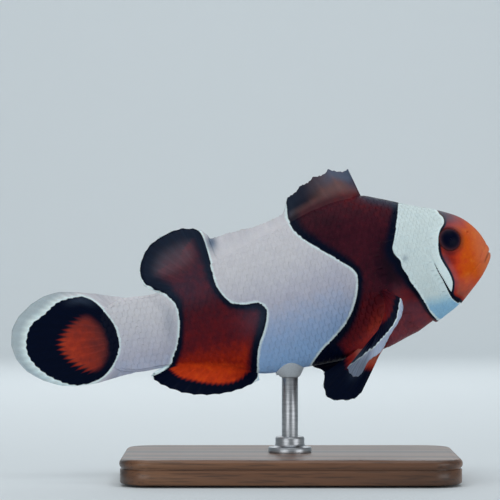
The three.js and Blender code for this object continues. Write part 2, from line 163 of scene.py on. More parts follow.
MIDDLE_PATCH = [
    (51.6, 15.9, 1.6), (51.1, 13.7, 1.3), (50.9, 10.4, 1.1), (50.7, 6.2, 0.8), (50.1, 4, 0.7),
    (48.7, 1.9, 0.7), (46.4, 1, 0.8), (44, 0.8, 1), (42.7, -0.4, 1.1), (42.8, -2.1, 1.1),
    (43.9, -4.5, 1.1), (45.4, -7, 1.1), (46.4, -9.7, 1.1), (46.8, -11.5, 1.2), (47.7, -13.3, 1.3),
    (50.9, -14.2, 1.8), (55.5, -14.1, 2.1), (60.5, -12.8, 2.4), (64.5, -10.3, 2.6), (66, -8.3, 2.6),
    (64, -7.5, 1.6), (62.2, -6.9, 0.7), (61.5, -5.8, 0.8), (60.1, -3.7, 0.7), (59.1, -1, 0.6),
    (58.6, 1.1, 0.6), (58.6, 3.6, 0.9), (59.4, 5.1, 1.1), (60.4, 6.3, 1.4), (62.1, 7.4, 1.9),
    (63.8, 9.2, 2.5), (63.7, 12.2, 2.9), (61, 15.6, 3), (56, 17.2, 2.9), (53, 16.9, 2.4),
]
TAIL_PATCH = [
    (76, 9.2, 1), (79.8, 9.1, 1), (83, 7.4, 1), (85.6, 6.1, 1), (87.1, 3.6, 1), (87.4, 0.8, 1),
    (86.1, -2, 1), (83.9, -4.4, 1), (80.5, -6.5, 1), (76.7, -6.7, 1), (73.6, -5.3, 1),
    (70.9, -2.1, 1), (70.5, 1.6, 1), (71.6, 4.7, 1), (73.4, 7.6, 1), (75.1, 8.9, 1),
]
TAIL_ORANGE = [
    (75.6, 5.8, 1), (77.8, 5.2, 1), (80.3, 3.5, 1), (81.6, 1.3, 1), (81, -1.1, 1), (78.9, -3.7, 1),
    (76.2, -5.1, 1), (73.8, -3.8, 1), (72.5, -0.9, 1), (72.9, 2.6, 1), (74.2, 4.8, 1),
]
ANAL_ORANGE = [
    (62.6, -7, 1), (61.3, -9.3, 1), (58.8, -10.7, 1), (55.3, -12.1, 1), (52.4, -12.6, 1),
    (50, -12.1, 1), (48.8, -10.9, 1), (49.4, -9.6, 1), (52.2, -8.9, 1), (55.2, -8.2, 1), (59, -7.3, 1),
]

# Where the face, the front patch and the middle patch end along the fish.
FACE_END = 11
FRONT_END = 38
MIDDLE_END = 67.5

# Soft oval spots in the paint, markings and one painted shadow: the middle (s, h), the half length and the
# half height.
SPOTS = {
    "cheek_red": (7.8, 1, 1.7, 1.7),
    "face_border": (7.2, 9, 1.5, 1.875),
    "behind_eye": (9.1, 3.4, 1.3, 1.69),
    # A painted shadow under the corner of the gill cover.
    "gill_flap_shadow": (15.8, 2.6, 0.55, 0.55),
    "front_black": (18.8, 2, 2.6, 5),
    "belly_fin_red": (28.6, -13, 1.9, 1.9),
    "middle_lobe": (44.5, -2, 3.4, 3.4),
    "between_back_fins": (49.9, 13.5, 0.95, 1.5),
}
STREAK = (22.4, -7.4)

# Folds of the head.
HEAD_END = 24
CHEEK_FOLD = [
    (11.5, 3.2), (10.9, 1.2), (10.4, -1.2), (9.9, -2.7), (9.5, -4.1), (9.1, -5.4), (8.6, -6.6),
    (7.9, -7.4),
]
GILL_EDGE = [
    (15.7, 10.5), (16.9, 7), (17.6, 4.4), (16.8, 0.6), (16.1, -1.9), (15.2, -4.5), (14.2, -7.4),
    (12.8, -10.3), (11.8, -13),
]
MOUTH = {"height": 0.3, "slope": -1.15, "corner": 1.35}
NOSTRIL = (3.4, 4.7)


# ---------------------------------------------------------------- curves

def smooth(x):
    """Rises gently from 0 to 1 as x does."""
    t = np.clip(x, 0, 1)
    return t * t * (3 - 2 * t)


def bell(x, width):
    """A soft hump: 1 where x is nought, falling away on both sides over this width."""
    return np.exp(-((x / width) ** 2))


def mix(a, b, t):
    """The value that is share t of the way from a to b."""
    return a + (b - a) * t


def profile(points):
    """A smooth curve through (s, value) points, worked in the square root of s, as the snout is blunt."""
    x = np.sqrt([p[0] for p in points])
    v = np.array([p[1] for p in points], float)
    slope = np.diff(v) / np.diff(x)
    before = np.diff(x)[:-1]
    after = np.diff(x)[1:]
    inner = (slope[:-1] * after + slope[1:] * before) / (before + after)
    tangent = np.concatenate([slope[:1], inner, slope[-1:]])

    def curve(s):
        at = np.sqrt(np.clip(s, points[0][0], points[-1][0]))
        i = np.clip(np.searchsorted(x, at, side="right") - 1, 0, len(x) - 2)
        span = x[i + 1] - x[i]
        t = (at - x[i]) / span
        a = (1 + 2 * t) * (1 - t) ** 2
        b = t * (1 - t) ** 2
        c = t * t * (3 - 2 * t)
        d = t * t * (t - 1)
        return a * v[i] + b * span * tangent[i] + c * v[i + 1] + d * span * tangent[i + 1]

    return curve


def spline(points, t):
    """Points of an even Catmull-Rom curve through all the given points, for t from 0 to 1."""
    points = np.array(points, float)
    last = len(points) - 1
    along = np.clip(t, 0, 1) * last
    i = np.minimum(np.floor(along).astype(int), last - 1)
    w = (along - i)[..., None]
    p0 = points[np.maximum(i - 1, 0)]
    p1 = points[i]
    p2 = points[i + 1]
    p3 = points[np.minimum(i + 2, last)]
    leaving = (p2 - p0) / 2
    arriving = (p3 - p1) / 2
    cubic = 2 * p1 - 2 * p2 + leaving + arriving
    square = 3 * p2 - 3 * p1 - 2 * leaving - arriving
    return ((cubic * w + square) * w + leaving) * w + p1


back = profile(BACK)
belly = profile(BELLY)
half_width = profile(HALF_WIDTH)
back_keel = profile(BACK_KEEL)
belly_keel = profile(BELLY_KEEL)
ray_length = profile(PECTORAL["lengths"])


# ---------------------------------------------------------------- the body's bare shape

def swing(s):
    """How far the middle line bends sideways at s. It is nought over the rod."""
    def far(t):
        return (np.maximum(t, 0) / TOTAL_LENGTH) ** SWING_POWER

    return TAIL_SWING * (far(s) - far(ROD_AT))


def place(points):
    """Fish coordinates to the frame's metres."""
    s, y, h = points[..., 0], points[..., 1], points[..., 2]
    x = SNOUT[0] - s * math.cos(PITCH) - h * math.sin(PITCH)
    z = SNOUT[1] - s * math.sin(PITCH) + h * math.cos(PITCH)
    return np.stack([x, y + swing(s), z], -1) * MM


def widest(s):
    """The height of the line along which the body is widest."""
    return mix(belly(s), back(s), WIDEST_LEVEL)


def section(s, turn, side):
    """A point of the bare skin, turn radians above its widest line."""
    upper = np.sin(turn) > 0
    keel = np.where(upper, back_keel(s), belly_keel(s))
    reach = np.where(upper, back(s) - widest(s), widest(s) - belly(s)) - COAT_DEPTH
    y = side * (half_width(s) - COAT_DEPTH) * np.maximum(np.cos(turn), 0) ** keel
    return np.stack([s + 0 * turn, y, widest(s) + reach * np.sin(turn)], -1)


# For rings along the body: the turn at equal steps round from the belly (0) to the back (1).
RING_COUNT = 320
TURN_STEPS = 96
ring_root = np.linspace(0, math.sqrt(BODY_END), RING_COUNT)
fine_turn = np.linspace(-math.pi / 2, math.pi / 2, 721)
ring_turn = np.zeros((RING_COUNT, TURN_STEPS + 1))
ring_round = np.zeros(RING_COUNT)
ring_widest = np.zeros(RING_COUNT)
for ring, root in enumerate(ring_root):
    line = section(np.full_like(fine_turn, root * root), fine_turn, 1)
    steps = np.linalg.norm(np.diff(line, axis=0), axis=1)
    travelled = np.concatenate([[0], np.cumsum(steps)])
    ring_round[ring] = travelled[-1]
    share = travelled / travelled[-1]
    ring_turn[ring] = np.interp(np.linspace(0, 1, TURN_STEPS + 1), share, fine_turn)
    ring_widest[ring] = np.interp(0, fine_turn, share)


def round_length(s):
    """Half the way round the body, from belly to back."""
    return np.interp(np.sqrt(np.clip(s, 0, BODY_END)), ring_root, ring_round)


def widest_share(s):
    """How far round from belly to back the body is widest, from 0 to 1."""
    return np.interp(np.sqrt(np.clip(s, 0, BODY_END)), ring_root, ring_widest)


def turn_at(s, share):
    """The turn at a share of the way from the belly to the back."""
    a = np.sqrt(np.clip(s, 0, BODY_END)) / ring_root[-1] * (RING_COUNT - 1)
    b = np.clip(share, 0, 1) * TURN_STEPS
    i = np.minimum(a.astype(int), RING_COUNT - 2)
    j = np.minimum(b.astype(int), TURN_STEPS - 1)
    u = a - i
    v = b - j
    low = mix(ring_turn[i, j], ring_turn[i, j + 1], v)
    high = mix(ring_turn[i + 1, j], ring_turn[i + 1, j + 1], v)
    return mix(low, high, u)


def bare_skin(s, share, side):
    """Points of the bare skin. A share past the back or the belly goes over to the other side."""
    over = (share > 1) | (share < 0)
    share = np.where(share > 1, 2 - share, np.abs(share))
    side = np.where(over, -side, side)
    s = np.clip(s, 0, BODY_END)
    return section(s, turn_at(s, share), side)


def unit(vectors):
    """The vectors brought to length 1."""
    return vectors / np.maximum(np.linalg.norm(vectors, axis=-1, keepdims=True), 1e-12)


def outward(s, share, side):
    """Unit vectors straight out of the bare skin."""
    along = bare_skin(s + 0.02, share, side) - bare_skin(s - 0.02, share, side)
    around = bare_skin(s, share + 0.004, side) - bare_skin(s, share - 0.004, side)
    return unit(np.cross(around, along)) * np.asarray(side)[..., None]


def breadth(s, h):
    """How far the bare skin stands from the middle plane at s and h."""
    mid = widest(s)
    upper = h > mid
    reach = np.where(upper, back(s) - mid, mid - belly(s)) - COAT_DEPTH
    rise = np.clip((h - mid) / reach, -1, 1)
    keel = np.where(upper, back_keel(s), belly_keel(s))
    return (half_width(s) - COAT_DEPTH) * np.sqrt(1 - rise * rise) ** keel


# The eye looks straight out of the cheek: its middle, its axis and two directions across it.
eye_middle = np.array([EYE["s"], float(breadth(EYE["s"], EYE["h"])), EYE["h"]])
eye_along = np.array([1, float(breadth(EYE["s"] + 1, EYE["h"]) - breadth(EYE["s"] - 1, EYE["h"])) / 2, 0])
eye_up = np.array([0, float(breadth(EYE["s"], EYE["h"] + 1) - breadth(EYE["s"], EYE["h"] - 1)) / 2, 1])
eye_axis = unit(np.cross(eye_up, eye_along))
eye_along = unit(eye_along)
eye_up = np.cross(eye_along, eye_axis)


def from_eye(points):
    """How far points are from the axis of the eye on their own side."""
    near = points * [1, 0, 1] + np.abs(points) * [0, 1, 0] - eye_middle
    return np.linalg.norm(near - (near @ eye_axis)[..., None] * eye_axis, axis=-1)


# ---------------------------------------------------------------- lines drawn on the side of the fish

def dense(points, step, closed):
    """A smooth line through the points, as short straight pieces."""
    points = np.array(points, float)
    ring = np.concatenate([points[-1:], points, points[:2]]) if closed else points
    span = len(points) if closed else len(points) - 1
    first = 1 if closed else 0
    made = []
    for i in range(span):
        length = np.linalg.norm((ring[first + i + 1] - ring[first + i])[:2])
        count = max(2, int(length / step))
        t = (first + i + np.arange(count) / count) / (len(ring) - 1)
        made.append(spline(ring, t))
    if not closed:
        made.append(points[-1:])
    return np.concatenate(made)


CHUNK = 8000


def nearest(line, s, h, closed):
    """Distance to a line, its third value at the nearest point, and which side each point is on."""
    start = line if closed else line[:-1]
    end = np.roll(line, -1, axis=0) if closed else line[1:]
    way = end[:, :2] - start[:, :2]
    squared = np.maximum((way ** 2).sum(1), 1e-12)
    flat_s = np.ravel(s)
    flat_h = np.ravel(h)
    distance = np.empty(flat_s.shape)
    third = np.empty(flat_s.shape)
    side = np.empty(flat_s.shape)
    for i in range(0, len(flat_s), CHUNK):
        ds = flat_s[i:i + CHUNK, None] - start[:, 0]
        dh = flat_h[i:i + CHUNK, None] - start[:, 1]
        t = np.clip((ds * way[:, 0] + dh * way[:, 1]) / squared, 0, 1)
        gap = (ds - t * way[:, 0]) ** 2 + (dh - t * way[:, 1]) ** 2
        k = gap.argmin(1)
        row = np.arange(len(k))
        distance[i:i + CHUNK] = np.sqrt(gap[row, k])
        third[i:i + CHUNK] = mix(start[k, 2], end[k, 2], t[row, k])
        if closed:
            above = (dh >= 0) != (dh - way[:, 1] >= 0)
            crossing = ds < dh / np.where(way[:, 1] == 0, 1e-12, way[:, 1]) * way[:, 0]
            side[i:i + CHUNK] = np.where((above & crossing).sum(1) % 2 == 1, 1, -1)
        else:
            cross = way[k, 0] * dh[row, k] - way[k, 1] * ds[row, k]
            side[i:i + CHUNK] = np.sign(cross)
    return distance.reshape(np.shape(s)), third.reshape(np.shape(s)), side.reshape(np.shape(s))


def inside_by(outline, s, h):
    """How far points are inside a closed outline, and the width that it carries there."""
    distance, width, side = nearest(outline, s, h, closed=True)
    return distance * side, width


def behind(line, s, h):
    """How far points are behind a line that runs down the fish, and how far along it, from 0 to 1."""
    distance, along, side = nearest(line, s, h, closed=False)
    return distance * side, along


def numbered(points):
    """A line whose third value counts from 0 at its top to 1 at its foot."""
    line = dense([(s, h, 0) for s, h in points], 0.25, closed=False)
    line[:, 2] = np.linspace(0, 1, len(line))
    return line


face_edge = dense(FACE_EDGE, 0.3, closed=True)
front_patch = dense(FRONT_PATCH, 0.4, closed=True)
middle_patch = dense(MIDDLE_PATCH, 0.4, closed=True)
tail_patch = dense(TAIL_PATCH, 0.4, closed=True)
tail_orange = dense(TAIL_ORANGE, 0.4, closed=True)
anal_orange = dense(ANAL_ORANGE, 0.4, closed=True)
cheek_fold = numbered(CHEEK_FOLD)
gill_edge = numbered(GILL_EDGE)


# ---------------------------------------------------------------- folds of the head

def mouth_line(s, h):
    """How far points are above the line of the mouth."""
    return (h - MOUTH["height"] - MOUTH["slope"] * s) / math.hypot(1, MOUTH["slope"])


def mouth_relief(s, h):
    """The lips, the parting between them and the folds of both jaws."""
    mouth = mouth_line(s, h)
    parted = 1 - smooth((s - MOUTH["corner"] + 0.4) / 0.7)
    lips = 1 - smooth((s - MOUTH["corner"] - 0.1) / 1.2)
    lips *= mix(0.45, 1, smooth(s / 0.7))
    here = lips * (0.16 * bell(mouth - 0.5, 0.34) + 0.12 * bell(mouth + 0.46, 0.32))
    here -= parted * 0.42 * bell(mouth, 0.12)
    here -= lips * 0.08 * (bell(mouth - 1.1, 0.22) + bell(mouth + 1, 0.2))
    jaw_fold = h + 0.9 + 0.75 * (s - 1.7)
    here -= 0.09 * bell(jaw_fold, 0.22) * smooth((s - 1.9) / 0.6) * (1 - smooth((s - 5) / 1.5))
    upper_fold = h - 0.25 + 0.2 * (s - 2)
    here -= 0.06 * bell(upper_fold, 0.25) * smooth((s - 2) / 0.8) * (1 - smooth((s - 4.6) / 1.4))
    return here


def eye_relief(points):
    """The socket of the eye, its raised rim, the groove round that and the swell of the cheek."""
    beyond = from_eye(points) - EYE["radius"]
    here = -(EYE["sink"] + 0.75) * (1 - smooth((beyond + 0.18) / 0.26))
    here += 0.08 * bell(beyond - 0.22, 0.22)
    here -= 0.05 * bell(beyond - 0.8, 0.3)
    here += 0.14 * (1 - smooth((beyond - 0.1) / 2.4))
    return here


def cheek_relief(s, h):
    """The nostril, the fold of the cheek, the edge of the gill cover and two folds below them."""
    nostril = np.hypot(s - NOSTRIL[0], h - NOSTRIL[1])
    here = 0.09 * bell(nostril - 0.34, 0.16) - 0.3 * bell(nostril, 0.2)
    past, along = behind(cheek_fold, s, h)
    on_line = smooth(along / 0.25)
    here += on_line * 0.15 * bell(np.minimum(past, 0) / 1.8, 1) * (past < 0)
    here -= on_line * 0.12 * bell(past - 0.1, 0.16)
    past, along = behind(gill_edge, s, h)
    on_line = smooth((along - 0.16) / 0.14)
    here -= on_line * 0.42 * smooth((past + 0.06) / 0.18) * (1 - smooth((past - 0.4) / 3.2))
    here += on_line * 0.1 * bell(past + 0.45, 0.4)
    here -= on_line * 0.12 * bell(past - 0.12, 0.14)
    for drop in (0, 1.1):
        fold = h + 6.2 + drop + 0.62 * (s - 7)
        here -= 0.06 * bell(fold, 0.2) * smooth((s - 6.5) / 1.5) * (1 - smooth((s - 10.5) / 1.5))
    return here


def relief(points):
    """How far the skin stands out from its bare shape, or sinks below it, in millimetres."""
    raised = np.zeros(points.shape[:-1])
    head = points[..., 0] < HEAD_END
    at = points[head]
    s, h = at[:, 0], at[:, 2]
    paddle_muscle = np.hypot((s - 19.8) / 1.5, (h + 4.2) / 2.9)
    here = mouth_relief(s, h) + eye_relief(at) + cheek_relief(s, h)
    raised[head] = here + 0.42 * (1 - smooth((paddle_muscle - 0.35) / 0.9))
    return raised


def skin(s, share, side, lift=0):
    """Points of the finished skin, or lift millimetres above it."""
    base = bare_skin(s, share, side)
    return base + outward(s, share, side) * (relief(base) + lift)[..., None]


# ---------------------------------------------------------------- markings, and painted light and shade

PAINTS = ("edge", "core", "warm", "pale", "cool", "veil", "dusk", "blush_and_highlight", "rays", "tone")
CORE_START = 0.72
CORE_END = 1.4


def unpainted(shape):
    """Paint values that are all nought."""
    return {name: np.zeros(shape) for name in PAINTS}


def from_streak(s, h):
    """How far a place is from the red streak behind the paddle fin, which is a long oval."""
    ds = s - STREAK[0]
    dh = h - STREAK[1]
    return np.hypot(0.62 * ds + 0.78 * dh, (0.78 * ds - 0.62 * dh) / 3.3)


def spot(s, h, name):
    """A soft spot of the markings: 1 in its middle, falling away all round."""
    at_s, at_h, length, height = SPOTS[name]
    return bell(np.hypot((s - at_s) / length, (h - at_h) / height), 1)


def inner_colour(s, h):
    """Where a coloured patch is warm: 0 is maroon black, 0.5 deep red and 1 bright orange."""
    face = 0.86 - 0.26 * smooth((h - 5) / 4) * smooth((s - 1) / 3) - 0.14 * smooth((s - 4.5) / 4)
    face -= 0.16 * smooth((-h - 2.5) / 4)
    face -= 0.18 * spot(s, h, "cheek_red")
    front = 0.29 + 0.11 * smooth((1 - h) / 7)
    front -= 0.24 * spot(s, h, "front_black")
    front -= 0.06 * smooth((s - 22) / 6) * smooth((h - 4) / 6)
    # The red streak behind the paddle fin: its own red, brightened further as painted light against the
    # paddle fin's shadow on the body.
    front += 0.29 * bell(from_streak(s, h), 1.7)
    front += 0.07 * smooth((h - back(s) + 4) / 3.5) * bell(s - 23.5, 6)
    front += 0.1 * smooth((-h - 5) / 4) * (1 - smooth((s - 20) / 4))
    front += 0.11 * spot(s, h, "belly_fin_red")
    middle = 0.32 + 0.1 * smooth((3 - h) / 8) + 0.18 * smooth((-h - 4) / 4)
    inside, _ = inside_by(anal_orange, s, h)
    middle = mix(middle, 0.73 - 0.08 * smooth((53 - s) / 4), smooth((inside + 0.35) / 0.7))
    tail = 0.42 + 0.2 * smooth((s - 72.5) / 7) * smooth((8 - h) / 7)
    return np.select([s < FACE_END, s < FRONT_END, s < MIDDLE_END], [face, front, middle], tail)


def tail_softness(s):
    """How gently the tail's orange fades to black, in millimetres: less towards the tips."""
    return mix(2.4, 1.9, smooth((s - 74) / 5))


def patches(s, h):
    """How far points are inside the coloured patches, and how far on from black to their colour."""
    edge = np.full(np.shape(s), -20.0)
    core = np.full(np.shape(s), -1.0)
    for outline in (face_edge, front_patch, middle_patch):
        inside, width = inside_by(outline, s, h)
        soft = 1 if outline is face_edge else 0.45
        core = np.where(inside > edge, CORE_START + (inside / width - 0.7) * soft, core)
        edge = np.maximum(edge, inside)
    core = core + 0.8 * smooth((-h - 9.4) / 1.6) * (1 - smooth((s - 16) / 2)) * (s > 9)
    before_vent = (0.36 * (h + 8.5) - 0.93 * (s - 31.8) + 0.5) / 2.2
    core = np.where((s > 22) & (s < FRONT_END), np.minimum(core, CORE_START + before_vent), core)
    inside, _ = inside_by(tail_patch, s, h)
    orange, _ = inside_by(tail_orange, s, h)
    core = np.where(inside > edge, 1 + (orange - 0.3) / tail_softness(s), core)
    return np.maximum(edge, inside), core


def shade_white(paint, s, h):
    """The white parts are bluer and darker towards the belly and the throat, which is painted shade, and
    sea green to blue on the head and tail edge.
    """
    past_head = smooth((s - 17) / 4)
    depth = np.clip((back(s) - h) / (back(s) - belly(s)), 0, 1)
    middle = smooth((s - 22) / 8) * (1 - smooth((s - 52) / 8))
    # Painted shade: the white turns bluer and darker down the flank and under the throat.
    paint["pale"] = smooth((depth - 0.12) / 0.95) * mix(0.45, 1, middle) * mix(0.15, 1, past_head)
    paint["pale"] += (1 - past_head) * smooth((-h - 4.6) / 3.2) * 0.85
    # Painted light: the lowest strip of the flank, and the fin below it, are made lighter, as if lit from
    # below.
    paint["tone"] = 5 * smooth((depth - 0.78) / 0.22) * past_head * (1 - smooth((s - 66) / 6))
    paint["cool"] = 1 - past_head + smooth((s - 74) / 9)


def shade_patches(paint, s, h):
    """Dusk and a purple bloom lie over the coloured patches; beside them lie a grey smudge between the back
    fins and painted shadows by the middle patch and under the gill cover.
    """
    edge = paint["edge"]
    over_nape = smooth((h - back(s) + 2.2) / 2) * smooth((s - 13.5) / 1.2) * (1 - smooth((s - 19.5) / 3))
    over_eyes = smooth((h - back(s) + 4.6) / 4) * smooth((s - 2) / 4) * (s < FACE_END)
    by_border = spot(s, h, "face_border") * (s < FACE_END)
    dusk = 0.75 * over_nape + 0.3 * over_eyes + 0.6 * by_border + 0.5 * spot(s, h, "behind_eye")
    paint["dusk"] = np.clip(dusk, 0, 1)
    cheek = bell(edge - 0.7, 0.6) * smooth((3 - h) / 3) * smooth((h + 6.5) / 3) * (s < FACE_END)
    throat = smooth((-h - 4) / 3) * smooth((s - 11) / 1.5) * (1 - smooth((s - 21) / 2))
    purple = 0.1 * bell(from_streak(s, h), 1.8) + 0.42 * over_eyes + 0.2 * over_nape
    purple += 0.25 * cheek + 0.16 * throat + 0.15 * spot(s, h, "middle_lobe")
    purple += 0.11 * smooth((h - 1) / 5) * bell(s - 56, 9)
    # Painted shadows: one beside the middle patch's rear border, and one under the corner of the gill
    # cover.
    shadow = 0.35 * bell(edge + 1.7, 1.2) * bell(h - 1.2, 3.6) * bell(s - 61, 3)
    smudge_and_shadow = 0.95 * spot(s, h, "between_back_fins") + 0.45 * spot(s, h, "gill_flap_shadow")
    grey = np.maximum(shadow, smudge_and_shadow) * (s < STALK_END)
    paint["veil"] = mix(grey, purple, smooth((edge - 0.1) / 0.3))


def flush_face_with_highlight_and_shade(paint, s, h):
    """The lips and the snout are paler and pinker, which is a painted highlight; the brow and the chin are
    paler and pinker too, and the mouth is dark, which is painted shade in its parting.
    """
    mouth = mouth_line(s, h)
    lips = (1 - smooth((s - 0.3) / MOUTH["corner"])) * bell(mouth, 1.1)
    brow = smooth((h - back(s) + 3) / 3)
    snout = 1 - smooth((s - 0.8) / 3.4)
    chin = smooth((-h - 2) / 3) * smooth((s - 3) / 2) * smooth((paint["edge"] - 0.7) / 0.7)
    # Painted highlight on the lips and the snout; a paler, pinker flush on the brow and the chin.
    paint["blush_and_highlight"] = np.maximum(0.4 * lips, np.maximum(0.16 * brow * (s < 9), 0.25 * snout))
    paint["blush_and_highlight"] += 0.16 * chin * (s < 9.5)
    # Painted shade in the parting of the mouth.
    paint["dusk"] += (1 - smooth((s - MOUTH["corner"]) / 0.3)) * bell(mouth, 0.1) * 0.5


def draw_cheek_fold(paint, s, h):
    """The border of the face follows the fold of the cheek: a bright crescent, and a dark line in the fold,
    which is painted shade.
    """
    head = (s > 7) & (s < 14)
    past, along = behind(cheek_fold, s[head], h[head])
    edge = paint["edge"][head]
    crescent = smooth((along - 0.15) / 0.2) * smooth(-past / 0.3) * (edge > -2.2) * (edge < -0.3)
    bordered = mix(edge, -0.2, crescent)
    # The dark line is painted shade in the fold of the cheek.
    line = smooth((along - 0.1) / 0.2) * (1 - smooth((np.abs(past - 0.05) - 0.16 * along) / 0.14))
    paint["edge"][head] = np.maximum(bordered, mix(bordered, 0.5, line))
    paint["core"][head] *= 1 - line


def markings_light_and_shade(s, h):
    """Paint values at points on the side of the fish, for the skin and the scales alike: the markings, with
    painted light and shade.
    """
    paint = unpainted(np.shape(s))
    paint["edge"], paint["core"] = patches(s, h)
    paint["warm"] = inner_colour(s, h)
    shade_white(paint, s, h)
    shade_patches(paint, s, h)
    flush_face_with_highlight_and_shade(paint, s, h)
    in_tail = smooth((paint["core"] - CORE_START) / (CORE_END - CORE_START)) * (s > 68)
    paint["blush_and_highlight"] += 0.05 * in_tail
    draw_cheek_fold(paint, s, h)
    return paint


# ---------------------------------------------------------------- joined surfaces

def volume_inside(points, groups):
    """Six times the volume that closed faces hold, which is negative where they are inside out."""
    total = 0.0
    for group in groups:
        first = points[group[:, 0]]
        for k in range(1, group.shape[1] - 1):
            total += (first * np.cross(points[group[:, k]], points[group[:, k + 1]])).sum()
    return total


class Surface:
    """Points, faces, flat-map corners and paint values, gathered and joined into one mesh."""

    def __init__(self):
        self.points = []
        self.faces = []
        self.corners = []
        self.finishes = []
        self.rounded = []
        self.paint = {name: [] for name in PAINTS}
        self.count = 0

    def add(self, points, faces, corners, paint, finish=0, rounded=()):
        """points in metres; faces as arrays of point numbers; corners as arrays of flat-map places."""
        rounded = rounded or [True] * len(faces)
        points = points.reshape(-1, 3)
        if volume_inside(points - points.mean(0), faces) < 0:
            faces = [group[:, ::-1] for group in faces]
            corners = [places[:, ::-1] for places in corners]
        for group, places, shaded_round in zip(faces, corners, rounded):
            self.faces.append(group + self.count)
            self.corners.append(places)
            self.finishes.append(np.full(len(group), finish))
            self.rounded.append(np.full(len(group), shaded_round))
        for name in PAINTS:
            values = np.asarray(paint.get(name, 0.0), float)
            self.paint[name].append(np.broadcast_to(values.reshape(-1), (len(points),)))
        self.points.append(points)
        self.count += len(points)

    def build(self, name, materials):
        """Makes the object, with its flat map and its paint values."""
        mesh = bpy.data.meshes.new(name)
        points = np.concatenate(self.points)
        loops = np.concatenate([group.ravel() for group in self.faces])
        sizes = np.concatenate([np.full(len(group), group.shape[1]) for group in self.faces])
        mesh.vertices.add(len(points))
        mesh.vertices.foreach_set("co", points.astype(np.float32).ravel())
        mesh.loops.add(len(loops))
        mesh.loops.foreach_set("vertex_index", loops.astype(np.int32))
        mesh.polygons.add(len(sizes))
        starts = np.concatenate([[0], np.cumsum(sizes)[:-1]])
        mesh.polygons.foreach_set("loop_start", starts.astype(np.int32))
        mesh.polygons.foreach_set("material_index", np.concatenate(self.finishes).astype(np.int32))
        mesh.polygons.foreach_set("use_smooth", np.concatenate(self.rounded))
        flat = mesh.uv_layers.new(name="OFBake")
        places = np.concatenate([places.reshape(-1, 2) for places in self.corners])
        flat.data.foreach_set("uv", places.astype(np.float32).ravel())
        for paint_name in PAINTS:
            values = np.concatenate(self.paint[paint_name]).astype(np.float32)
            if values.any():
                mesh.attributes.new(paint_name, "FLOAT", "POINT").data.foreach_set("value", values)
        for material in materials:
            mesh.materials.append(material)
        mesh.update(calc_edges=True)
        mesh.validate()
        made = bpy.data.objects.new(name, mesh)
        bpy.context.scene.collection.objects.link(made)
        return made


def net(rows, columns, closed=False):
    """The four corners of each patch of a net of points, as (row, column) numbers."""
    across = columns if closed else columns - 1
    r, c = np.meshgrid(np.arange(rows - 1), np.arange(across), indexing="ij")
    row = np.stack([r, r + 1, r + 1, r], -1).reshape(-1, 4)
    column = np.stack([c, c, c + 1, c + 1], -1).reshape(-1, 4)
    return row, column


def net_border(rows, columns):
    """The point numbers all the way round the border of a net."""
    return np.concatenate([
        np.arange(rows) * columns,
        (rows - 1) * columns + np.arange(1, columns),
        np.arange(rows - 2, -1, -1) * columns + columns - 1,
        np.arange(columns - 2, 0, -1),
    ])


# The body's unwrap fills the left part of the flat map and the fins lie to its right.
BODY_MAP = {"left": 0.02, "right": 0.68, "low": 0.02, "high": 0.98}
FIN_MAP = {"left": 0.71, "right": 0.99, "low": 0.02, "high": 0.98}
PATCH_SIZE = 0.003


def body_map(s, share, side):
    """The place on the flat map: from the belly up the left side, over the back and down the right."""
    turned = np.where(np.asarray(side) > 0, share / 2, 1 - share / 2)
    u = mix(BODY_MAP["left"], BODY_MAP["right"], np.clip(s, 0, BODY_END) / BODY_END)
    v = mix(BODY_MAP["low"], BODY_MAP["high"], turned)
    return np.stack([u, v + 0 * u], -1)


# ---------------------------------------------------------------- body skin

RING_SPACING = [
    (0, 0.03), (1, 0.06), (3, 0.1), (12, 0.12), (13, 0.2), (18, 0.25), (22, 0.7), (BODY_END, 0.7),
]
HALF_STEPS = 100


def ring_places():
    """Where the body's rings of points lie: close together on the head, wider behind it."""
    places = [0.0]
    while places[-1] < BODY_END:
        step = np.interp(places[-1], *np.transpose(RING_SPACING))
        places.append(min(places[-1] + step, BODY_END))
    return np.array(places)


def add_body(surface, finish):
    """The body's skin as one closed surface, with a pole at the snout and at the tail."""
    places = ring_places()
    columns = 2 * HALF_STEPS
    turned = np.arange(columns) / columns
    share = np.where(turned <= 0.5, turned * 2, 2 - turned * 2)
    side = np.where(turned <= 0.5, 1.0, -1.0)
    s = np.repeat(places[:, None], columns, 1)
    share = np.repeat(share[None, :], len(places), 0)
    side = np.repeat(side[None, :], len(places), 0)
    points = skin(s, share, side)
    row, column = net(len(places), columns, closed=True)
    faces = row * columns + column % columns
    u = mix(BODY_MAP["left"], BODY_MAP["right"], places[row] / BODY_END)
    v = mix(BODY_MAP["low"], BODY_MAP["high"], column / columns)
    paint = markings_light_and_shade(points[..., 0], points[..., 2])
    # Painted shade round the eye, in its socket and the groove round it.
    socket = from_eye(points) - EYE["radius"]
    paint["dusk"] = np.maximum(paint["dusk"], 0.6 * bell(socket, 0.75))
    ends = []
    flats = []
    poles = []
    for which, ring in ((0, 0), (1, len(places) - 1)):
        poles.append(points[ring].mean(0) + (0.12 if which == 0 else -0.1) * np.array([1, 0, 0]))
        number = points.shape[0] * columns + which
        rim = ring * columns + np.arange(columns)
        after = ring * columns + (np.arange(columns) + 1) % columns
        pair = (rim, after) if which == 0 else (after, rim)
        ends.append(np.stack([np.full(columns, number), *pair], -1))
        centre = np.array([BODY_MAP["left"] - 0.008 if which == 0 else BODY_MAP["right"] + 0.004, 0.5])
        flats.append(np.repeat(centre[None, None, :], columns, 0).repeat(3, 1))
    everything = np.concatenate([points.reshape(-1, 3), poles])
    for name in paint:
        flat = paint[name].ravel()
        paint[name] = np.concatenate([flat, [flat[0], flat[-1]]])
    surface.add(place(everything), [faces, *ends], [np.stack([u, v], -1), *flats], paint, finish)


# ---------------------------------------------------------------- fins

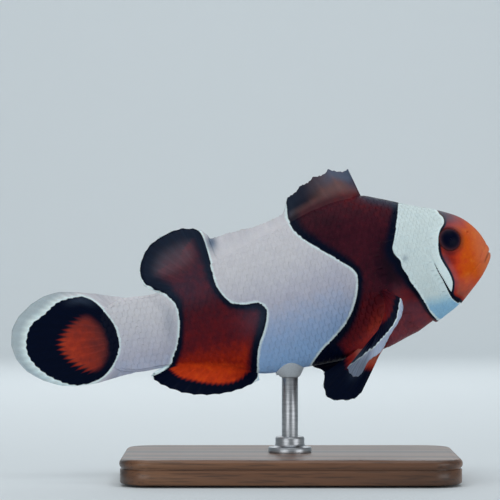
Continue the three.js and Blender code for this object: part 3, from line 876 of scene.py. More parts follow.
def fin_ray(across, v, split_from, spread):
    """A ridge along each ray, which parts in two towards the tip. across is the place between rays."""
    parted = smooth((v - split_from) / (1 - split_from)) * spread
    middle = across - np.round(across)
    return np.maximum(bell(middle - parted, 0.13), bell(middle + parted, 0.13))


def web_notch(across, v, depth, start, power=0.8):
    """How far the edge dips between the rays, which shows only past this share of the way out."""
    return depth * np.abs(np.sin(math.pi * across)) ** power * smooth((v - start) / (1 - start))


def thin_tips(half, v, start=0.97):
    """Half a fin's thickness, which goes down to half of that at the very edge."""
    return half * mix(1, 0.5, smooth((v - start) / (1 - start)))


def teeth(x):
    """A row of small points, from -0.5 up to 0.5 and back for each whole step of x."""
    return 0.5 - 2 * np.abs(x % 1 - 0.5)


def add_fin(surface, sheet, half, paint, slot, finish):
    """A closed thin shell on both sides of a sheet of points, drawn by fin ray and distance out."""
    along = np.gradient(sheet, axis=0)
    out = np.gradient(sheet, axis=1)
    swell = unit(np.cross(along, out)) * half[..., None]
    rays, steps = sheet.shape[:2]
    points = np.concatenate([(sheet + swell).reshape(-1, 3), (sheet - swell).reshape(-1, 3)])
    row, column = net(rays, steps)
    near = row * steps + column
    far = near[:, ::-1] + rays * steps
    border = net_border(rays, steps)
    after = np.roll(border, -1)
    rim = np.stack([border, border + rays * steps, after + rays * steps, after], -1)[:, ::-1]
    width = (FIN_MAP["right"] - FIN_MAP["left"]) / 2
    height = (FIN_MAP["high"] - FIN_MAP["low"]) / 9
    low = np.array([FIN_MAP["left"], FIN_MAP["low"] + slot * height])
    size = np.array([width - 0.01, height - 0.01])
    corner = np.stack([row / (rays - 1), column / (steps - 1)], -1)
    near_map = low + corner * size
    far_map = low + [width, 0] + corner[:, ::-1] * size
    border_place = np.stack([border // steps / (rays - 1), border % steps / (steps - 1)], -1)
    after_place = np.roll(border_place, -1, axis=0)
    rim_map = low + np.stack([border_place, border_place, after_place, after_place], 1)[:, ::-1] * size
    doubled = {name: np.tile(np.ravel(values), 2) for name, values in paint.items()}
    surface.add(place(points), [near, far, rim], [near_map, far_map, rim_map], doubled, finish)


def fin_grid(rays, per_ray, steps):
    """Ray numbers and shares of the way out for a net of fin points."""
    u = np.linspace(0, 1, rays * per_ray + 1)
    v = np.linspace(0, 1, steps + 1)
    return np.meshgrid(u, v, indexing="ij")


SHEATH_START = 0.6


def sheath(away, s, h, level):
    """The thick scaly foot of a fin. It leaves the skin at this level, along the skin's own slope,
    thins towards the tips and is hidden in the body further down."""
    hidden = 0.9 * breadth(s, h) + 1.6 * smooth((away + SHEATH_START) / 0.35)
    return np.minimum(breadth(s, level) * np.exp(-(away + SHEATH_START) / (2 * SHEATH_START)), hidden)


def add_spiny_dorsal(surface, rng, finish):
    """The front part of the dorsal fin: stiff spines, and webs that dip and fray between them."""
    tips = SPINY_DORSAL["tips"]
    webs = len(tips) - 1
    u, v = fin_grid(webs, 10, 26)
    across = u * webs
    i = np.minimum(across.astype(int), webs - 1)
    t = across - i
    tips = np.array(tips)
    root = mix(*SPINY_DORSAL["root"], u)
    depth = rng.uniform(0.5, 0.8, webs)[i] * mix(0.95, 0.5, smooth(u * 2.2))
    dip = depth * np.sin(math.pi * t ** 0.75) ** 0.8 * mix(1, 0.4, smooth((u - 0.4) / 0.2))
    fray = 0.1 * np.sin(t * 25 + i * 2) * smooth((t - 0.1) / 0.2) * smooth((0.95 - t) / 0.1)
    tip_s = mix(tips[i, 0], tips[i + 1, 0], t)
    tip_h = mix(tips[i, 1], tips[i + 1, 1], t) - dip - fray
    foot = back(root) - FIN_SINK
    s = mix(root, tip_s, v)
    h = mix(foot, tip_h, v)
    ripple = 0.3 * v ** 1.5 * np.sin(across * 2.1 + 1) + 0.2 * v ** 2 * np.sin(across * math.pi * 2)
    sheet = np.stack([s, ripple, h], -1)
    away = h - back(s)
    spine = bell(np.minimum(t, 1 - t), 0.11)
    dark = smooth((35.5 - s) / 1.2)
    ridge = spine * mix(0.22, 0.08, v) * mix(0.4, 1, dark) * smooth((away + 0.2) / 0.8)
    foot_width = sheath(away, s, h, h - away - SHEATH_START) * smooth(u / 0.08)
    half = mix(0.13, 0.06, v) + ridge + foot_width
    half *= mix(1, 0.6, smooth((v - 0.97) / 0.03))
    paint = markings_light_and_shade(s, h)
    height = np.maximum(away, 0)
    below_edge = (1 - v) * (tip_h - foot)
    rear = smooth((s - 26) / 5.5) * smooth((height - 0.2) / 1.6)
    rear *= 1 - smooth((below_edge - 2.2) / 2.6) * (1 - smooth((s - 29.5) / 2))
    front = (1 - smooth(across / 0.8)) * smooth(height / 2.5)
    top = (1 - smooth((below_edge - 0.3) / 2.6)) * smooth(height / 1.5)
    olive = smooth((height + 0.6) / 3) * (1 - front) * (1 - rear)
    back_top = top * smooth((s - 24) / 4)
    grey = 0.8 * top + 0.4 * front + 0.2 * olive
    grey = np.minimum(grey * (1 - 0.8 * rear) * (1 - 0.45 * back_top), 0.82)
    paint["veil"] = np.maximum(dark * grey, paint["veil"])
    paint["warm"] = np.where(s < 35.5, mix(paint["warm"], 0.42, olive), paint["warm"])
    paint["blush_and_highlight"] = 0.22 * olive * dark
    dusk = np.maximum(paint["dusk"], 0.34 * olive + 0.9 * rear + 0.35 * front)
    paint["dusk"] = np.clip(dusk, 0, 1) * dark
    paint["cool"] = np.zeros(s.shape)
    paint["pale"] = np.zeros(s.shape)
    paint["rays"] = (spine * 1.1 - 0.35) * mix(0.5, 1, v) * mix(0.25, 1, dark)
    shade = smooth((height - 0.5) / 3) * mix(0.45, 1, smooth((s - 24) / 3)) * (1 - smooth((s - 28.5) / 2))
    paint["tone"] = paint["tone"] - 8 * shade
    tip = smooth((v - 0.94) / 0.05) * spine
    paint["edge"] = mix(paint["edge"], -0.4, tip * dark)
    add_fin(surface, sheet, half, paint, 0, finish)


def add_soft_fin(surface, shape, surface_line, sink, slot, finish, under):
    """The soft part of the dorsal fin, or the anal fin where it hangs under the fish."""
    rays = shape["rays"]
    u, v = fin_grid(rays, 8, 26)
    tip = spline(shape["tips"], u)
    root = mix(*shape["root"], u)
    across = u * rays
    foot = surface_line(root) + sink
    reach = 1 - web_notch(across, v, 0.14, 0.8, power=0.7) / 4.5
    s = mix(root, tip[..., 0], v * reach) + 0.45 * np.sin(math.pi * v) * (u - 0.2)
    h = mix(foot, tip[..., 1], v * reach)
    ripple = 0.35 * v ** 1.5 * np.sin(across * 0.9) + 0.08 * v ** 2 * np.cos(across * math.pi * 2)
    sheet = np.stack([s, ripple, h], -1)
    away = (surface_line(s) - h) if under else (h - surface_line(s))
    ridge = fin_ray(across, v, 0.35, 0.2) * smooth((away + 0.2) / 0.8)
    level = h + away + SHEATH_START if under else h - away - SHEATH_START
    ends = smooth((1 - u) / 0.15) * (smooth(u / 0.1) if under else 1)
    half = mix(0.12, 0.05, v) + ridge * mix(0.13, 0.05, v) + sheath(away, s, h, level) * ends
    half = thin_tips(half, v)
    paint = markings_light_and_shade(s, h)
    paint["rays"] = (ridge - 0.4) * smooth(away / 0.8) * 0.7
    paint["dusk"] = np.zeros(s.shape)
    if under:
        flames = -0.3 * teeth(across * 2)
        inside, _ = inside_by(anal_orange, s, h)
        paint["core"] = mix(paint["core"], 1.1 + (inside + flames) / 1.3, smooth((away + 0.3) / 0.6))
        paint["edge"] += 0.07 * np.cos(across * 2 * math.pi) * smooth((v - 0.7) / 0.2)
        paint["cool"] = np.maximum(paint["cool"], 0.6)
    else:
        brown = smooth(away / 4) * smooth((paint["edge"] - 1.2) / 3)
        navy = 0.09 * smooth(away / 3) * smooth((paint["edge"] - 0.3) / 0.5)
        paint["veil"] = np.maximum(paint["veil"], navy + 0.16 * brown)
        paint["dusk"] = 0.12 * smooth(away / 2)
        paint["blush_and_highlight"] = 0.07 * brown
        paint["warm"] += 0.1 * brown
        paint["pale"] = np.zeros(s.shape)
    add_fin(surface, sheet, half, paint, slot, finish)


def add_tail(surface, finish):
    """The tail fin: a round fan, black round its orange, with a clear edge."""
    rays = TAIL["rays"]
    u, v = fin_grid(rays, 8, 44)
    tip = spline(TAIL["tips"], u)
    across = u * rays
    root_h = mix(*TAIL["root_heights"], u)
    root_s = STALK_END - FIN_SINK - TAIL["root_rounding"] * (2 * u - 1) ** 2
    length = np.hypot(tip[..., 0] - root_s, tip[..., 1] - root_h)
    reach = 1 - web_notch(across, v, 0.1, 0.85) / length
    s = mix(root_s, tip[..., 0], v * reach)
    h = mix(root_h, tip[..., 1], v * reach)
    outer = np.abs(2 * u - 1) ** 2
    s += 1.1 * outer * np.sin(math.pi * v)
    ripple = 0.5 * v ** 1.6 * np.sin(u * 9) + 0.06 * v ** 2 * np.cos(across * math.pi * 2)
    sheet = np.stack([s, ripple, h], -1)
    ridge = fin_ray(across, v, 0.25, 0.24)
    half = thin_tips(mix(0.3, 0.05, v ** 0.6) + ridge * mix(0.12, 0.035, v), v, start=0.98)
    paint = markings_light_and_shade(s, h)
    tailward = smooth((s - 74) / 5)
    paint["edge"] += 0.18 * teeth(across * 2) * tailward
    flames = mix(1, 1.5, 0.5 + 0.5 * np.cos(across * 1.9)) * teeth(across * 2)
    flames *= smooth((s - 75.5) / 3)
    paint["core"] = np.where(paint["edge"] > 0, paint["core"] + flames / tail_softness(s), 0)
    clear = smooth((-paint["edge"] - 0.2) / 1.4) * smooth((s - 68) / 8)
    sheen = bell(paint["edge"] - 0.7, 0.8) * smooth((h - 6) / 3) * (1 - smooth((s - 75.5) / 4.5))
    paint["veil"] = 0.45 * clear + 0.22 * sheen
    paint["tone"] = -1.5 * clear
    paint["rays"] = (ridge - 0.4) * smooth((v - 0.1) / 0.2) * mix(0.7, 0.25, clear)
    paint["pale"] *= mix(1, 0.4, smooth((s - 70) / 8))
    paint["dusk"] = np.zeros(s.shape)
    add_fin(surface, sheet, half, paint, 1, finish)


def add_pectoral(surface, side, slot, finish):
    """A paddle fin: a broad fan that stands out from the side and curls forward at its lower end."""
    rays = PECTORAL["rays"]
    u, v = fin_grid(rays, 7, 30)
    slant = np.radians(mix(*PECTORAL["slant"], u * u))
    down = np.stack([np.cos(slant), np.zeros(u.shape), -np.sin(slant)], -1)
    forward = np.stack([-np.sin(slant), np.zeros(u.shape), -np.cos(slant)], -1)
    curl = mix(*PECTORAL["curl"], smooth((u - 0.5) / 0.5))
    across = u * rays
    root_s = mix(PECTORAL["top"][0], PECTORAL["bottom"][0], u)
    root_h = mix(PECTORAL["top"][1], PECTORAL["bottom"][1], u)
    length = (ray_length(u) - web_notch(across, v, 0.2, 0.85)) * v
    lean = np.radians(PECTORAL["lean"] + curl * v)[..., None]
    angle = np.radians(mix(PECTORAL["first_ray"], PECTORAL["last_ray"], u))
    out = np.array([0, side, 0]) * np.cos(lean) + forward * np.sin(lean)
    foot = np.stack([root_s, side * (half_width(root_s) - FIN_SINK), root_h], -1)
    sheet = foot + out * (length * np.cos(angle))[..., None] + down * (length * np.sin(angle))[..., None]
    sheet = sheet + forward * (0.25 * v ** 1.5 * np.sin(across * 1.1))[..., None]
    ridge = fin_ray(across, v, 0.35, 0.22)
    muscle = 0.5 * np.exp(-np.maximum(length - 1.2, 0) / 0.8)
    half = thin_tips(mix(0.14, 0.045, v) + ridge * mix(0.14, 0.05, v) + muscle, v)
    paint = unpainted(u.shape)
    # A pale lilac streak runs down the fin, then a black band, then the orange.
    ds = sheet[..., 0] - PECTORAL["pale_streak"][0]
    dh = sheet[..., 2] - PECTORAL["pale_streak"][1]
    down_fin = 0.71 * (ds - dh)
    bow = 0.1 - 0.045 * down_fin - 0.027 * down_fin ** 2 + 0.3 * bell(down_fin + 3.6, 2)
    from_pale_streak = 0.71 * (ds + dh) + bow + 0.08 * teeth(across)
    paint["edge"] = 2.4 * from_pale_streak
    inward = from_pale_streak - 0.8 - 0.5 * bell(down_fin + 0.5, 3.5)
    paint["core"] = 1 + (inward + 0.1 * teeth(across)) / 0.8
    paint["warm"] = mix(0.3, mix(0.36, 0.5, smooth(u / 0.4)), 1 - smooth((inward - 0.4) / 2))
    paint["cool"] = np.full(u.shape, 0.15)
    paint["pale"] = np.full(u.shape, 0.5)
    faded = smooth((u - 0.42) / 0.4) * smooth((v - 0.56) / 0.3)
    paint["veil"] = 0.4 * faded
    paint["tone"] = -14 * faded
    paint["rays"] = (ridge - 0.4) * smooth((v - 0.15) / 0.2)
    add_fin(surface, sheet, half, paint, slot, finish)


def add_pelvic(surface, side, turn_up, slot, finish):
    """A belly fin: a narrow fan turned up by this many degrees, with a black rear half."""
    turn = math.radians(turn_up)
    front, rear = PELVIC["root"]
    rays = PELVIC["rays"]
    u, v = fin_grid(rays, 8, 26)
    tip = spline(PELVIC["tips"], u)
    across = u * rays
    ds = tip[..., 0] - front[0]
    dh = tip[..., 1] - front[1]
    tip_s = front[0] + ds * math.cos(turn) - dh * math.sin(turn)
    tip_h = front[1] + ds * math.sin(turn) + dh * math.cos(turn)
    root_s = mix(front[0], rear[0], u)
    root_h = mix(front[1], rear[1], u) + FIN_SINK
    reach = np.hypot(tip_s - root_s, tip_h - root_h)
    out = v * (1 - web_notch(across, v, 0.34, 0.85) / reach)
    s = mix(root_s, tip_s, out)
    h = mix(root_h, tip_h, out)
    y = side * (PELVIC["from_middle"] + reach * math.sin(math.radians(PELVIC["splay"])) * out)
    y = y + side * 0.3 * v ** 1.5 * np.sin(across * 1.3)
    sheet = np.stack([s, y, h], -1)
    ridge = fin_ray(across, v, 0.3, 0.22)
    away = belly(s) - h
    muscle = 1.1 * np.exp(-np.maximum(away, 0) / 0.8)
    half = thin_tips(mix(0.15, 0.05, v) + ridge * mix(0.16, 0.06, v) + muscle, v)
    from_tip = reach * (1 - out)
    paint = unpainted(u.shape)
    paint["edge"] = from_tip - 0.15 + 0.12 * teeth(across * 2)
    black_from = h + 14.6 + 0.3 * (31.1 - s)
    paint["core"] = 1 + (np.minimum(30.8 - s, black_from) + 0.25 * teeth(across * 2)) / 2.2
    paint["warm"] = mix(0.64, 0.5, smooth((s - 27) / 3))
    beside = (s - 27.75) * 0.74 + (h + 13.9) * 0.67
    along = (s - 27.75) * 0.67 - (h + 13.9) * 0.74
    paint["veil"] = 0.7 * bell(np.hypot(beside / 0.9, along / 2.5), 1)
    paint["cool"] = np.full(u.shape, 0.6)
    paint["blush_and_highlight"] = 0.22 * smooth(black_from / 2) * smooth((29.5 - s) / 2)
    paint["rays"] = (ridge - 0.4) * 0.8
    add_fin(surface, sheet, half, paint, slot, finish)


# ---------------------------------------------------------------- scales

ALONG_CELLS = 5
ACROSS_CELLS = 6
SCALE_THICKNESS = 0.015
ROOT_AT = -0.6
ROOT_SHARE = 0.12
ROOT_SINK = 0.055
MOST_RELIEF = 0.16

# How far apart scales are on the flank and on the cheek.
FLANK = {"along": 1.15, "across": 1.12}
CHEEK = {"along": 0.8, "across": 0.85}
# Rows of scales (first, last, step) along the ridge of the back, which goes with the left coat, and
# along the ridge of the belly, which goes with the right one.
RIDGES = {
    "left": {"ridge": 1, "along": CHEEK["along"], "rows": ((8.6, 20.4, CHEEK["along"]), (60.6, 72, 1))},
    "right": {"ridge": -1, "along": 1, "rows": ((12.4, 21.6, 1), (26.8, 46, 1), (61, 72, 1))},
}
# Where scales leave room: the top of the gill opening, and the feet of the paddle and belly fins.
GILL_TOP = 8.6
PADDLE_FOOT = {"s": (19, 20.6), "h": (-6.2, -2)}
BELLY_FIN_FOOT = {"s": (22.2, 26.2), "h": -12.6}


def scale_net():
    """The places on one scale: a from root to rear edge, b from side to side; its top, rim and back."""
    long, wide = ALONG_CELLS + 1, ACROSS_CELLS + 1
    a, b = np.meshgrid(np.linspace(0, 1, long), np.linspace(-1, 1, wide), indexing="ij")
    row, column = net(long, wide)
    top = row * wide + column
    border = net_border(long, wide)
    below = len(a.ravel()) + np.arange(len(border))
    after = np.roll(border, -1)
    rim = np.stack([border, after, np.roll(below, -1), below], -1)
    return a.ravel(), b.ravel(), top, border, rim, below


def lattice(first, last, along, across, low, high):
    """Centres of scales in staggered rows: s, and the distance q above the widest line."""
    rows = np.arange(math.floor(low / across), math.ceil(high / across) + 1)
    made = []
    for row in rows:
        s = np.arange(first + (row % 2) * along / 2, last, along)
        made.append(np.stack([s, np.full(len(s), row * across)], -1))
    return np.concatenate(made)


def ridge_row(first, last, step):
    """Centres of one row of scales along the ridge of the back or the belly."""
    s = np.arange(first, last, step)
    return np.stack([s, np.zeros(len(s))], -1)


def keep_scale(s, h, q, head, across):
    """Which places carry a scale: not the face, the eye, fold edges or the feet of the fins."""
    past_gill, _ = behind(gill_edge, s, h)
    past_cheek, _ = behind(cheek_fold, s, h)
    in_face, _ = inside_by(face_edge, s, h)
    above = h > GILL_TOP
    share = widest_share(s) + q / round_length(s)
    from_edge = np.minimum(share, 1 - share) * round_length(s)
    kept = from_edge > 0.42 * across
    if head:
        kept &= in_face < -0.55
        kept &= np.where(h < 2.5, past_cheek > 0.35, True)
        kept &= np.where(above, past_gill < 0.1, past_gill < -0.95)
    else:
        kept &= np.where(above, past_gill > -0.4, past_gill > 0.35)
        foot_s = np.interp(h, PADDLE_FOOT["h"], PADDLE_FOOT["s"])
        foot_h = np.clip(h, *PADDLE_FOOT["h"])
        kept &= np.hypot(s - foot_s, h - foot_h) > 1.0
        foot_s = np.clip(s, *BELLY_FIN_FOOT["s"])
        kept &= np.hypot(s - foot_s, h - BELLY_FIN_FOOT["h"]) > 0.5
    base = np.stack([s, breadth(s, h), h], -1)
    kept &= from_eye(base) > EYE["radius"] + 0.8
    return kept


def scale_lift(a, b, x, across, raised):
    """How far a scale stands off the skin: most towards its rear, with its root let into the skin."""
    rise = np.clip((x - ROOT_AT) / (1 - ROOT_AT), 0, 1)
    lift = (0.02 + raised + 0.022 * rise) * across / FLANK["along"]
    lift = lift + SCALE_THICKNESS * (1 - 0.6 * np.abs(b) ** 3 - 0.35 * smooth((a - 0.75) / 0.25))
    return lift - ROOT_SINK * (1 - smooth(a / 0.25))


def add_scales(surface, side, centres, along, across, ridge, rng, head=False):
    """One layer of scales on one side, or along the back where ridge is 1, or the belly where -1."""
    a, b, top, border, rim, below = scale_net()
    s0 = centres[:, 0]
    q0 = centres[:, 1]
    if ridge == 0:
        share = widest_share(s0) + q0 / round_length(s0)
        inside = (share > 0) & (share < 1)
        s0, q0, share = s0[inside], q0[inside], share[inside]
        middle = bare_skin(s0, share, side)
        kept = keep_scale(s0, middle[:, 2], q0, head, across)
        s0, q0 = s0[kept], q0[kept]
    count = len(s0)
    size = rng.uniform(0.94, 1.06, count)
    slip = rng.uniform(-0.05, 0.05, count) * along
    tilt = rng.uniform(-0.06, 0.06, count)
    tone = rng.uniform(-1, 1, count)
    shrink = mix(1, 0.78, smooth((s0 - 58) / 12))
    size = size * shrink
    rear = 0.35 + 0.65 * np.sqrt(np.maximum(1 - b * b, 0))
    x = mix(ROOT_AT, rear, a)
    r = b * mix(0.8, 0.97, np.sqrt(a))
    local_s = along * size[:, None] * x
    local_q = across * size[:, None] * r + tilt[:, None] * local_s
    s = s0[:, None] + slip[:, None] + local_s
    if ridge == 0:
        q = q0[:, None] + local_q
        share = widest_share(s) + q / round_length(s)
        raised = 0.0
    else:
        share = (1 if ridge > 0 else 0) + local_q / round_length(s)
        raised = 0.03
    lift = np.broadcast_to(scale_lift(a, b, x, across, raised), s.shape)
    sides = np.full(s.shape, float(side))
    folded = np.ptp(relief(bare_skin(s, share, sides)), axis=1)
    flat_enough = folded < MOST_RELIEF
    s, share, lift, sides, tone, s0 = (part[flat_enough] for part in (s, share, lift, sides, tone, s0))
    count = len(s0)
    upper = skin(s, share, sides, lift)
    lower = skin(s[:, border], share[:, border], sides[:, border], lift[:, border] - SCALE_THICKNESS)
    points = np.concatenate([upper, lower], 1)
    root = upper[:, [ACROSS_CELLS // 2]]
    paint_at = mix(points, root, ROOT_SHARE)
    paint = markings_light_and_shade(paint_at[..., 0], paint_at[..., 2])
    paint["tone"] += 0.8 * tone[:, None]
    offset = np.arange(count)[:, None, None] * points.shape[1]
    faces = [(group[None] + offset).reshape(-1, group.shape[1]) for group in (top, rim)]
    faces.append(below[None, ::-1] + offset[:, 0])
    root_share = np.clip(share[:, ACROSS_CELLS // 2], 0.02, 0.98)
    home = body_map(s0, root_share, side)
    patch = np.stack([np.concatenate([a, a[border]]) - 0.5, np.concatenate([b, b[border]]) / 2], -1)
    flat = (home[:, None, :] + patch[None] * PATCH_SIZE).reshape(-1, 2)
    surface.add(place(points), faces, [flat[group] for group in faces], paint, rounded=(True, False, False))


# ---------------------------------------------------------------- eyes

def add_eye(side):
    """A glass eye: a low dome that follows the cheek, closed behind."""
    around = 72
    rho = np.concatenate([np.linspace(0.02, 1, 34) * EYE["radius"], [EYE["radius"] * 0.97, 0.02]])
    turn = np.arange(around) / around * 2 * math.pi
    radius, angle = np.meshgrid(rho, turn, indexing="ij")
    across = radius[..., None] * (np.cos(angle)[..., None] * eye_along + np.sin(angle)[..., None] * eye_up)
    points = eye_middle + across
    for _ in range(14):
        gap = breadth(points[..., 0], points[..., 2]) - points[..., 1]
        points = points + eye_axis * (gap * 0.8)[..., None]
    share = np.clip(radius / EYE["radius"], 0, 1)
    height = EYE["swell"] * np.sqrt(1 - 0.97 * share ** 2) - EYE["sink"]
    height[-2:] = -EYE["depth"]
    points = points + eye_axis * height[..., None]
    points = points * [1, side, 1]
    row, column = net(len(rho), around, closed=True)
    faces = row * around + column % around
    ends = [np.arange(around)[None, ::-1], (len(rho) - 1) * around + np.arange(around)[None]]
    groups = [faces, *ends]
    flat = (np.stack([np.cos(angle), np.sin(angle)], -1) * (radius / EYE["radius"])[..., None] * 0.48 + 0.5)
    flat = flat.reshape(-1, 2)
    eye = Surface()
    paint = {"tone": radius, "rays": angle}
    eye.add(place(points), groups, [flat[group] for group in groups], paint)
    return eye


# ---------------------------------------------------------------- stand

def rounded_rectangle(length, width, corner, steps=10):
    """Points round a rectangle with round corners."""
    made = []
    for turn, (x, y) in enumerate([(1, -1), (1, 1), (-1, 1), (-1, -1)]):
        angle = math.radians(-90 + 90 * turn) + np.linspace(0, math.pi / 2, steps + 1)
        middle = np.array([x * (length / 2 - corner), y * (width / 2 - corner)])
        made.append(middle + corner * np.stack([np.cos(angle), np.sin(angle)], -1))
    return np.concatenate(made)


def stacked(rings, name, material):
    """A closed body from rings of equal count, lowest first, with flat ends."""
    points = np.stack(rings)
    levels, around = points.shape[:2]
    row, column = net(levels, around, closed=True)
    faces = (row * around + column % around)[:, ::-1]
    low = np.arange(around)[None, ::-1]
    high = (levels - 1) * around + np.arange(around)[None]
    groups = [faces, low, high]
    flat = np.stack([column / around, row / levels], -1)[:, ::-1]
    outline = points[..., :2] - points[..., :2].min((0, 1))
    outline = (outline / outline.max()).reshape(-1, 2)
    maps = [flat, outline[low], outline[high]]
    made = Surface()
    made.add(points.reshape(-1, 3) * MM, groups, maps, {})
    return made.build(name, [material])


def turned_piece(outline, centre, name, material, around=64):
    """A lathe-turned piece from (radius, height) points, lowest first."""
    angle = np.arange(around) / around * 2 * math.pi
    rings = []
    for radius, height in outline:
        x = centre[0] + radius * np.cos(angle)
        y = centre[1] + radius * np.sin(angle)
        rings.append(np.stack([x, y, np.full(around, height)], -1))
    return stacked(rings, name, material)


def arc_points(centre, radius, start, end, steps=6):
    """Points of an arc from one angle to another, in degrees."""
    angles = np.radians(np.linspace(start, end, steps + 1))
    return [(centre[0] + radius * math.cos(t), centre[1] + radius * math.sin(t)) for t in angles]


def make_base(material):
    """The walnut base: a small foot, a straight side, a quirk and a rounded top edge."""
    edge = [(0.9, 0.35), (0.35, 0.5), (0.15, 0.75), (0.15, 3.0), (0.35, 3.12), (0.6, 3.15)]
    edge += [(1.5 - x, z) for x, z in arc_points((0.55, 4.05), 0.95, -35, 90, 9)]
    rings = []
    for inset, z in edge:
        length, width = BASE["length"] - 2 * inset, BASE["width"] - 2 * inset
        ring = rounded_rectangle(length, width, BASE["corner"] - inset)
        rings.append(np.column_stack([ring, np.full(len(ring), z)]))
    return stacked(rings, "base_walnut", material)


def make_rod(material, pad_low):
    """The steel rod, let into the base below and into the silicone cup above."""
    outline = [
        (1.2, 4.2), (1.45, 4.3), (ROD_RADIUS, 4.5), (ROD_RADIUS, pad_low + 0.4), (1.3, pad_low + 0.6),
    ]
    return turned_piece(outline, (0, 0), "rod_steel", material)


def make_collar(material):
    """The turned collar on the base: a flange with an eased edge, a cove and a neck."""
    low = BASE["height"]
    high = low + COLLAR["height"]
    outline = [
        (1.55, low - 0.3), (3.9, low - 0.3), (COLLAR["radius"], low), (COLLAR["radius"], low + 0.9),
        (3.85, low + 1.05), (3.3, low + 1.1),
    ]
    outline += arc_points((3.3, low + 1.7), 0.6, 270, 180, 5)
    outline += [(2.7, low + 2.6), (2.55, low + 2.9), (2.3, high), (1.55, high)]
    return turned_piece(outline, (0, 0), "collar_steel", material)


def make_feet(material):
    """Four silicone feet under the corners of the base."""
    feet = []
    for x in (-1, 1):
        for y in (-1, 1):
            centre = (x * (BASE["length"] / 2 - FOOT_INSET), y * (BASE["width"] / 2 - FOOT_INSET))
            feet.append(turned_piece(FOOT_OUTLINE, centre, f"foot_{len(feet)}", material, 32))
    return feet


def underside(x, y):
    """The height of the belly's skin over a point of the floor, in millimetres."""
    h = np.full(np.shape(x), float(belly(ROD_AT)))
    for _ in range(12):
        s = (SNOUT[0] - x - h * math.sin(PITCH)) / math.cos(PITCH)
        rise = np.clip(np.abs(y - swing(s)) / (half_width(s) - COAT_DEPTH), 0, 0.999)
        mid = widest(s)
        h = mid - (mid - belly(s) - COAT_DEPTH) * np.sqrt(1 - rise ** (2 / belly_keel(s)))
    return SNOUT[1] - s * math.sin(PITCH) + h * math.cos(PITCH)


def make_pad(material, low):
    """The silicone cup between the rod and the belly, with a lip that follows the skin."""
    around = 72
    angle = np.arange(around) / around * 2 * math.pi
    rod_x = SNOUT[0] - ROD_AT * math.cos(PITCH) - float(belly(ROD_AT)) * math.sin(PITCH)
    rings = []

    def ring(radius, height):
        x = rod_x + radius * np.cos(angle)
        y = radius * np.sin(angle)
        z = height(x, y) if callable(height) else np.full(around, height)
        rings.append(np.stack([x, y, z], -1))

    for share, rise in ((0.6, 0), (0.68, 0.06), (0.72, 0.2), (0.8, 0.42)):
        ring(share * PAD_RADIUS, low + rise)
    lip = ((0.93, -0.62), (0.99, -0.3), (1, -0.05), (0.97, 0.12), (0.9, 0.16), (0.82, 0.05), (0.72, 0.25))
    for share, drop in lip:
        ring(share * PAD_RADIUS, lambda x, y, drop=drop: underside(x, y) + drop)
    return stacked(rings, "pad_silicone", material)


# ---------------------------------------------------------------- materials

def hex_colour(code):
    """An sRGB hex value as a linear colour."""
    parts = [int(code[i:i + 2], 16) / 255 for i in (1, 3, 5)]
    linear = [c / 12.92 if c <= 0.04045 else ((c + 0.055) / 1.055) ** 2.4 for c in parts]
    return (*linear, 1)


def per_mm(size):
    """The texture scale that makes one feature this many millimetres across."""
    return 1 / (size * MM)


def new_material(name):
    """An empty material, ready for its nodes."""
    material = bpy.data.materials.new(name)
    material.use_nodes = True
    material.node_tree.nodes.clear()
    return material


def add(material, kind, inputs=None, stops=None, **settings):
    """Adds a node with its settings and links. A link is an output socket, anything else a value."""
    tree = material.node_tree
    made = tree.nodes.new(kind)
    for name, value in settings.items():
        setattr(made, name, value)
    for name, value in (inputs or {}).items():
        if isinstance(value, bpy.types.NodeSocket):
            tree.links.new(value, made.inputs[name])
        else:
            made.inputs[name].default_value = value
    if stops:
        ramp = made.color_ramp
        while len(ramp.elements) < len(stops):
            ramp.elements.new(0.5)
        for element, (position, code) in zip(ramp.elements, stops):
            element.position = position
            element.color = hex_colour(code)
    return made


def finish_material(material, shader):
    """Puts the shader on the surface of the material."""
    add(material, "ShaderNodeOutputMaterial", {"Surface": shader.outputs["BSDF"]})
    return material


# Colours of the fish.
BLACK = "#00081e"
RIM = "#dcedef"
# Veil: a grey-blue laid over the fins' clear parts, the purple bloom, the tail's sheen and the painted
# shadows by the middle patch and the gill cover.
VEIL = "#5c6f87"
# Dusk: a dusky colour over the patches and fins, and painted shade in the mouth's parting and round the
# eye.
DUSK = "#141927"
# Peach, laid on by the blush: a painted highlight on the lips and the snout, and a warm tint on the brow,
# the chin and some fins.
PEACH = "#cfa084"
WARM_STOPS = [
    (0, "#120614"), (0.15, "#240a18"), (0.3, "#3f1320"), (0.45, "#64161c"), (0.6, "#942314"),
    (0.75, "#c43c16"), (0.88, "#d0580a"), (1, "#dd8434"),
]
# The whites: further along each ramp they turn bluer and darker, which gives the painted shade down the
# flank and under the throat.
PALE_STOPS = [(0, "#cfced3"), (0.35, "#b8b9c9"), (0.7, "#9bb3d8"), (1, "#8db5e4")]
COOL_STOPS = [(0, "#d6e5e5"), (0.6, "#aed3e4"), (1, "#86bbe0")]


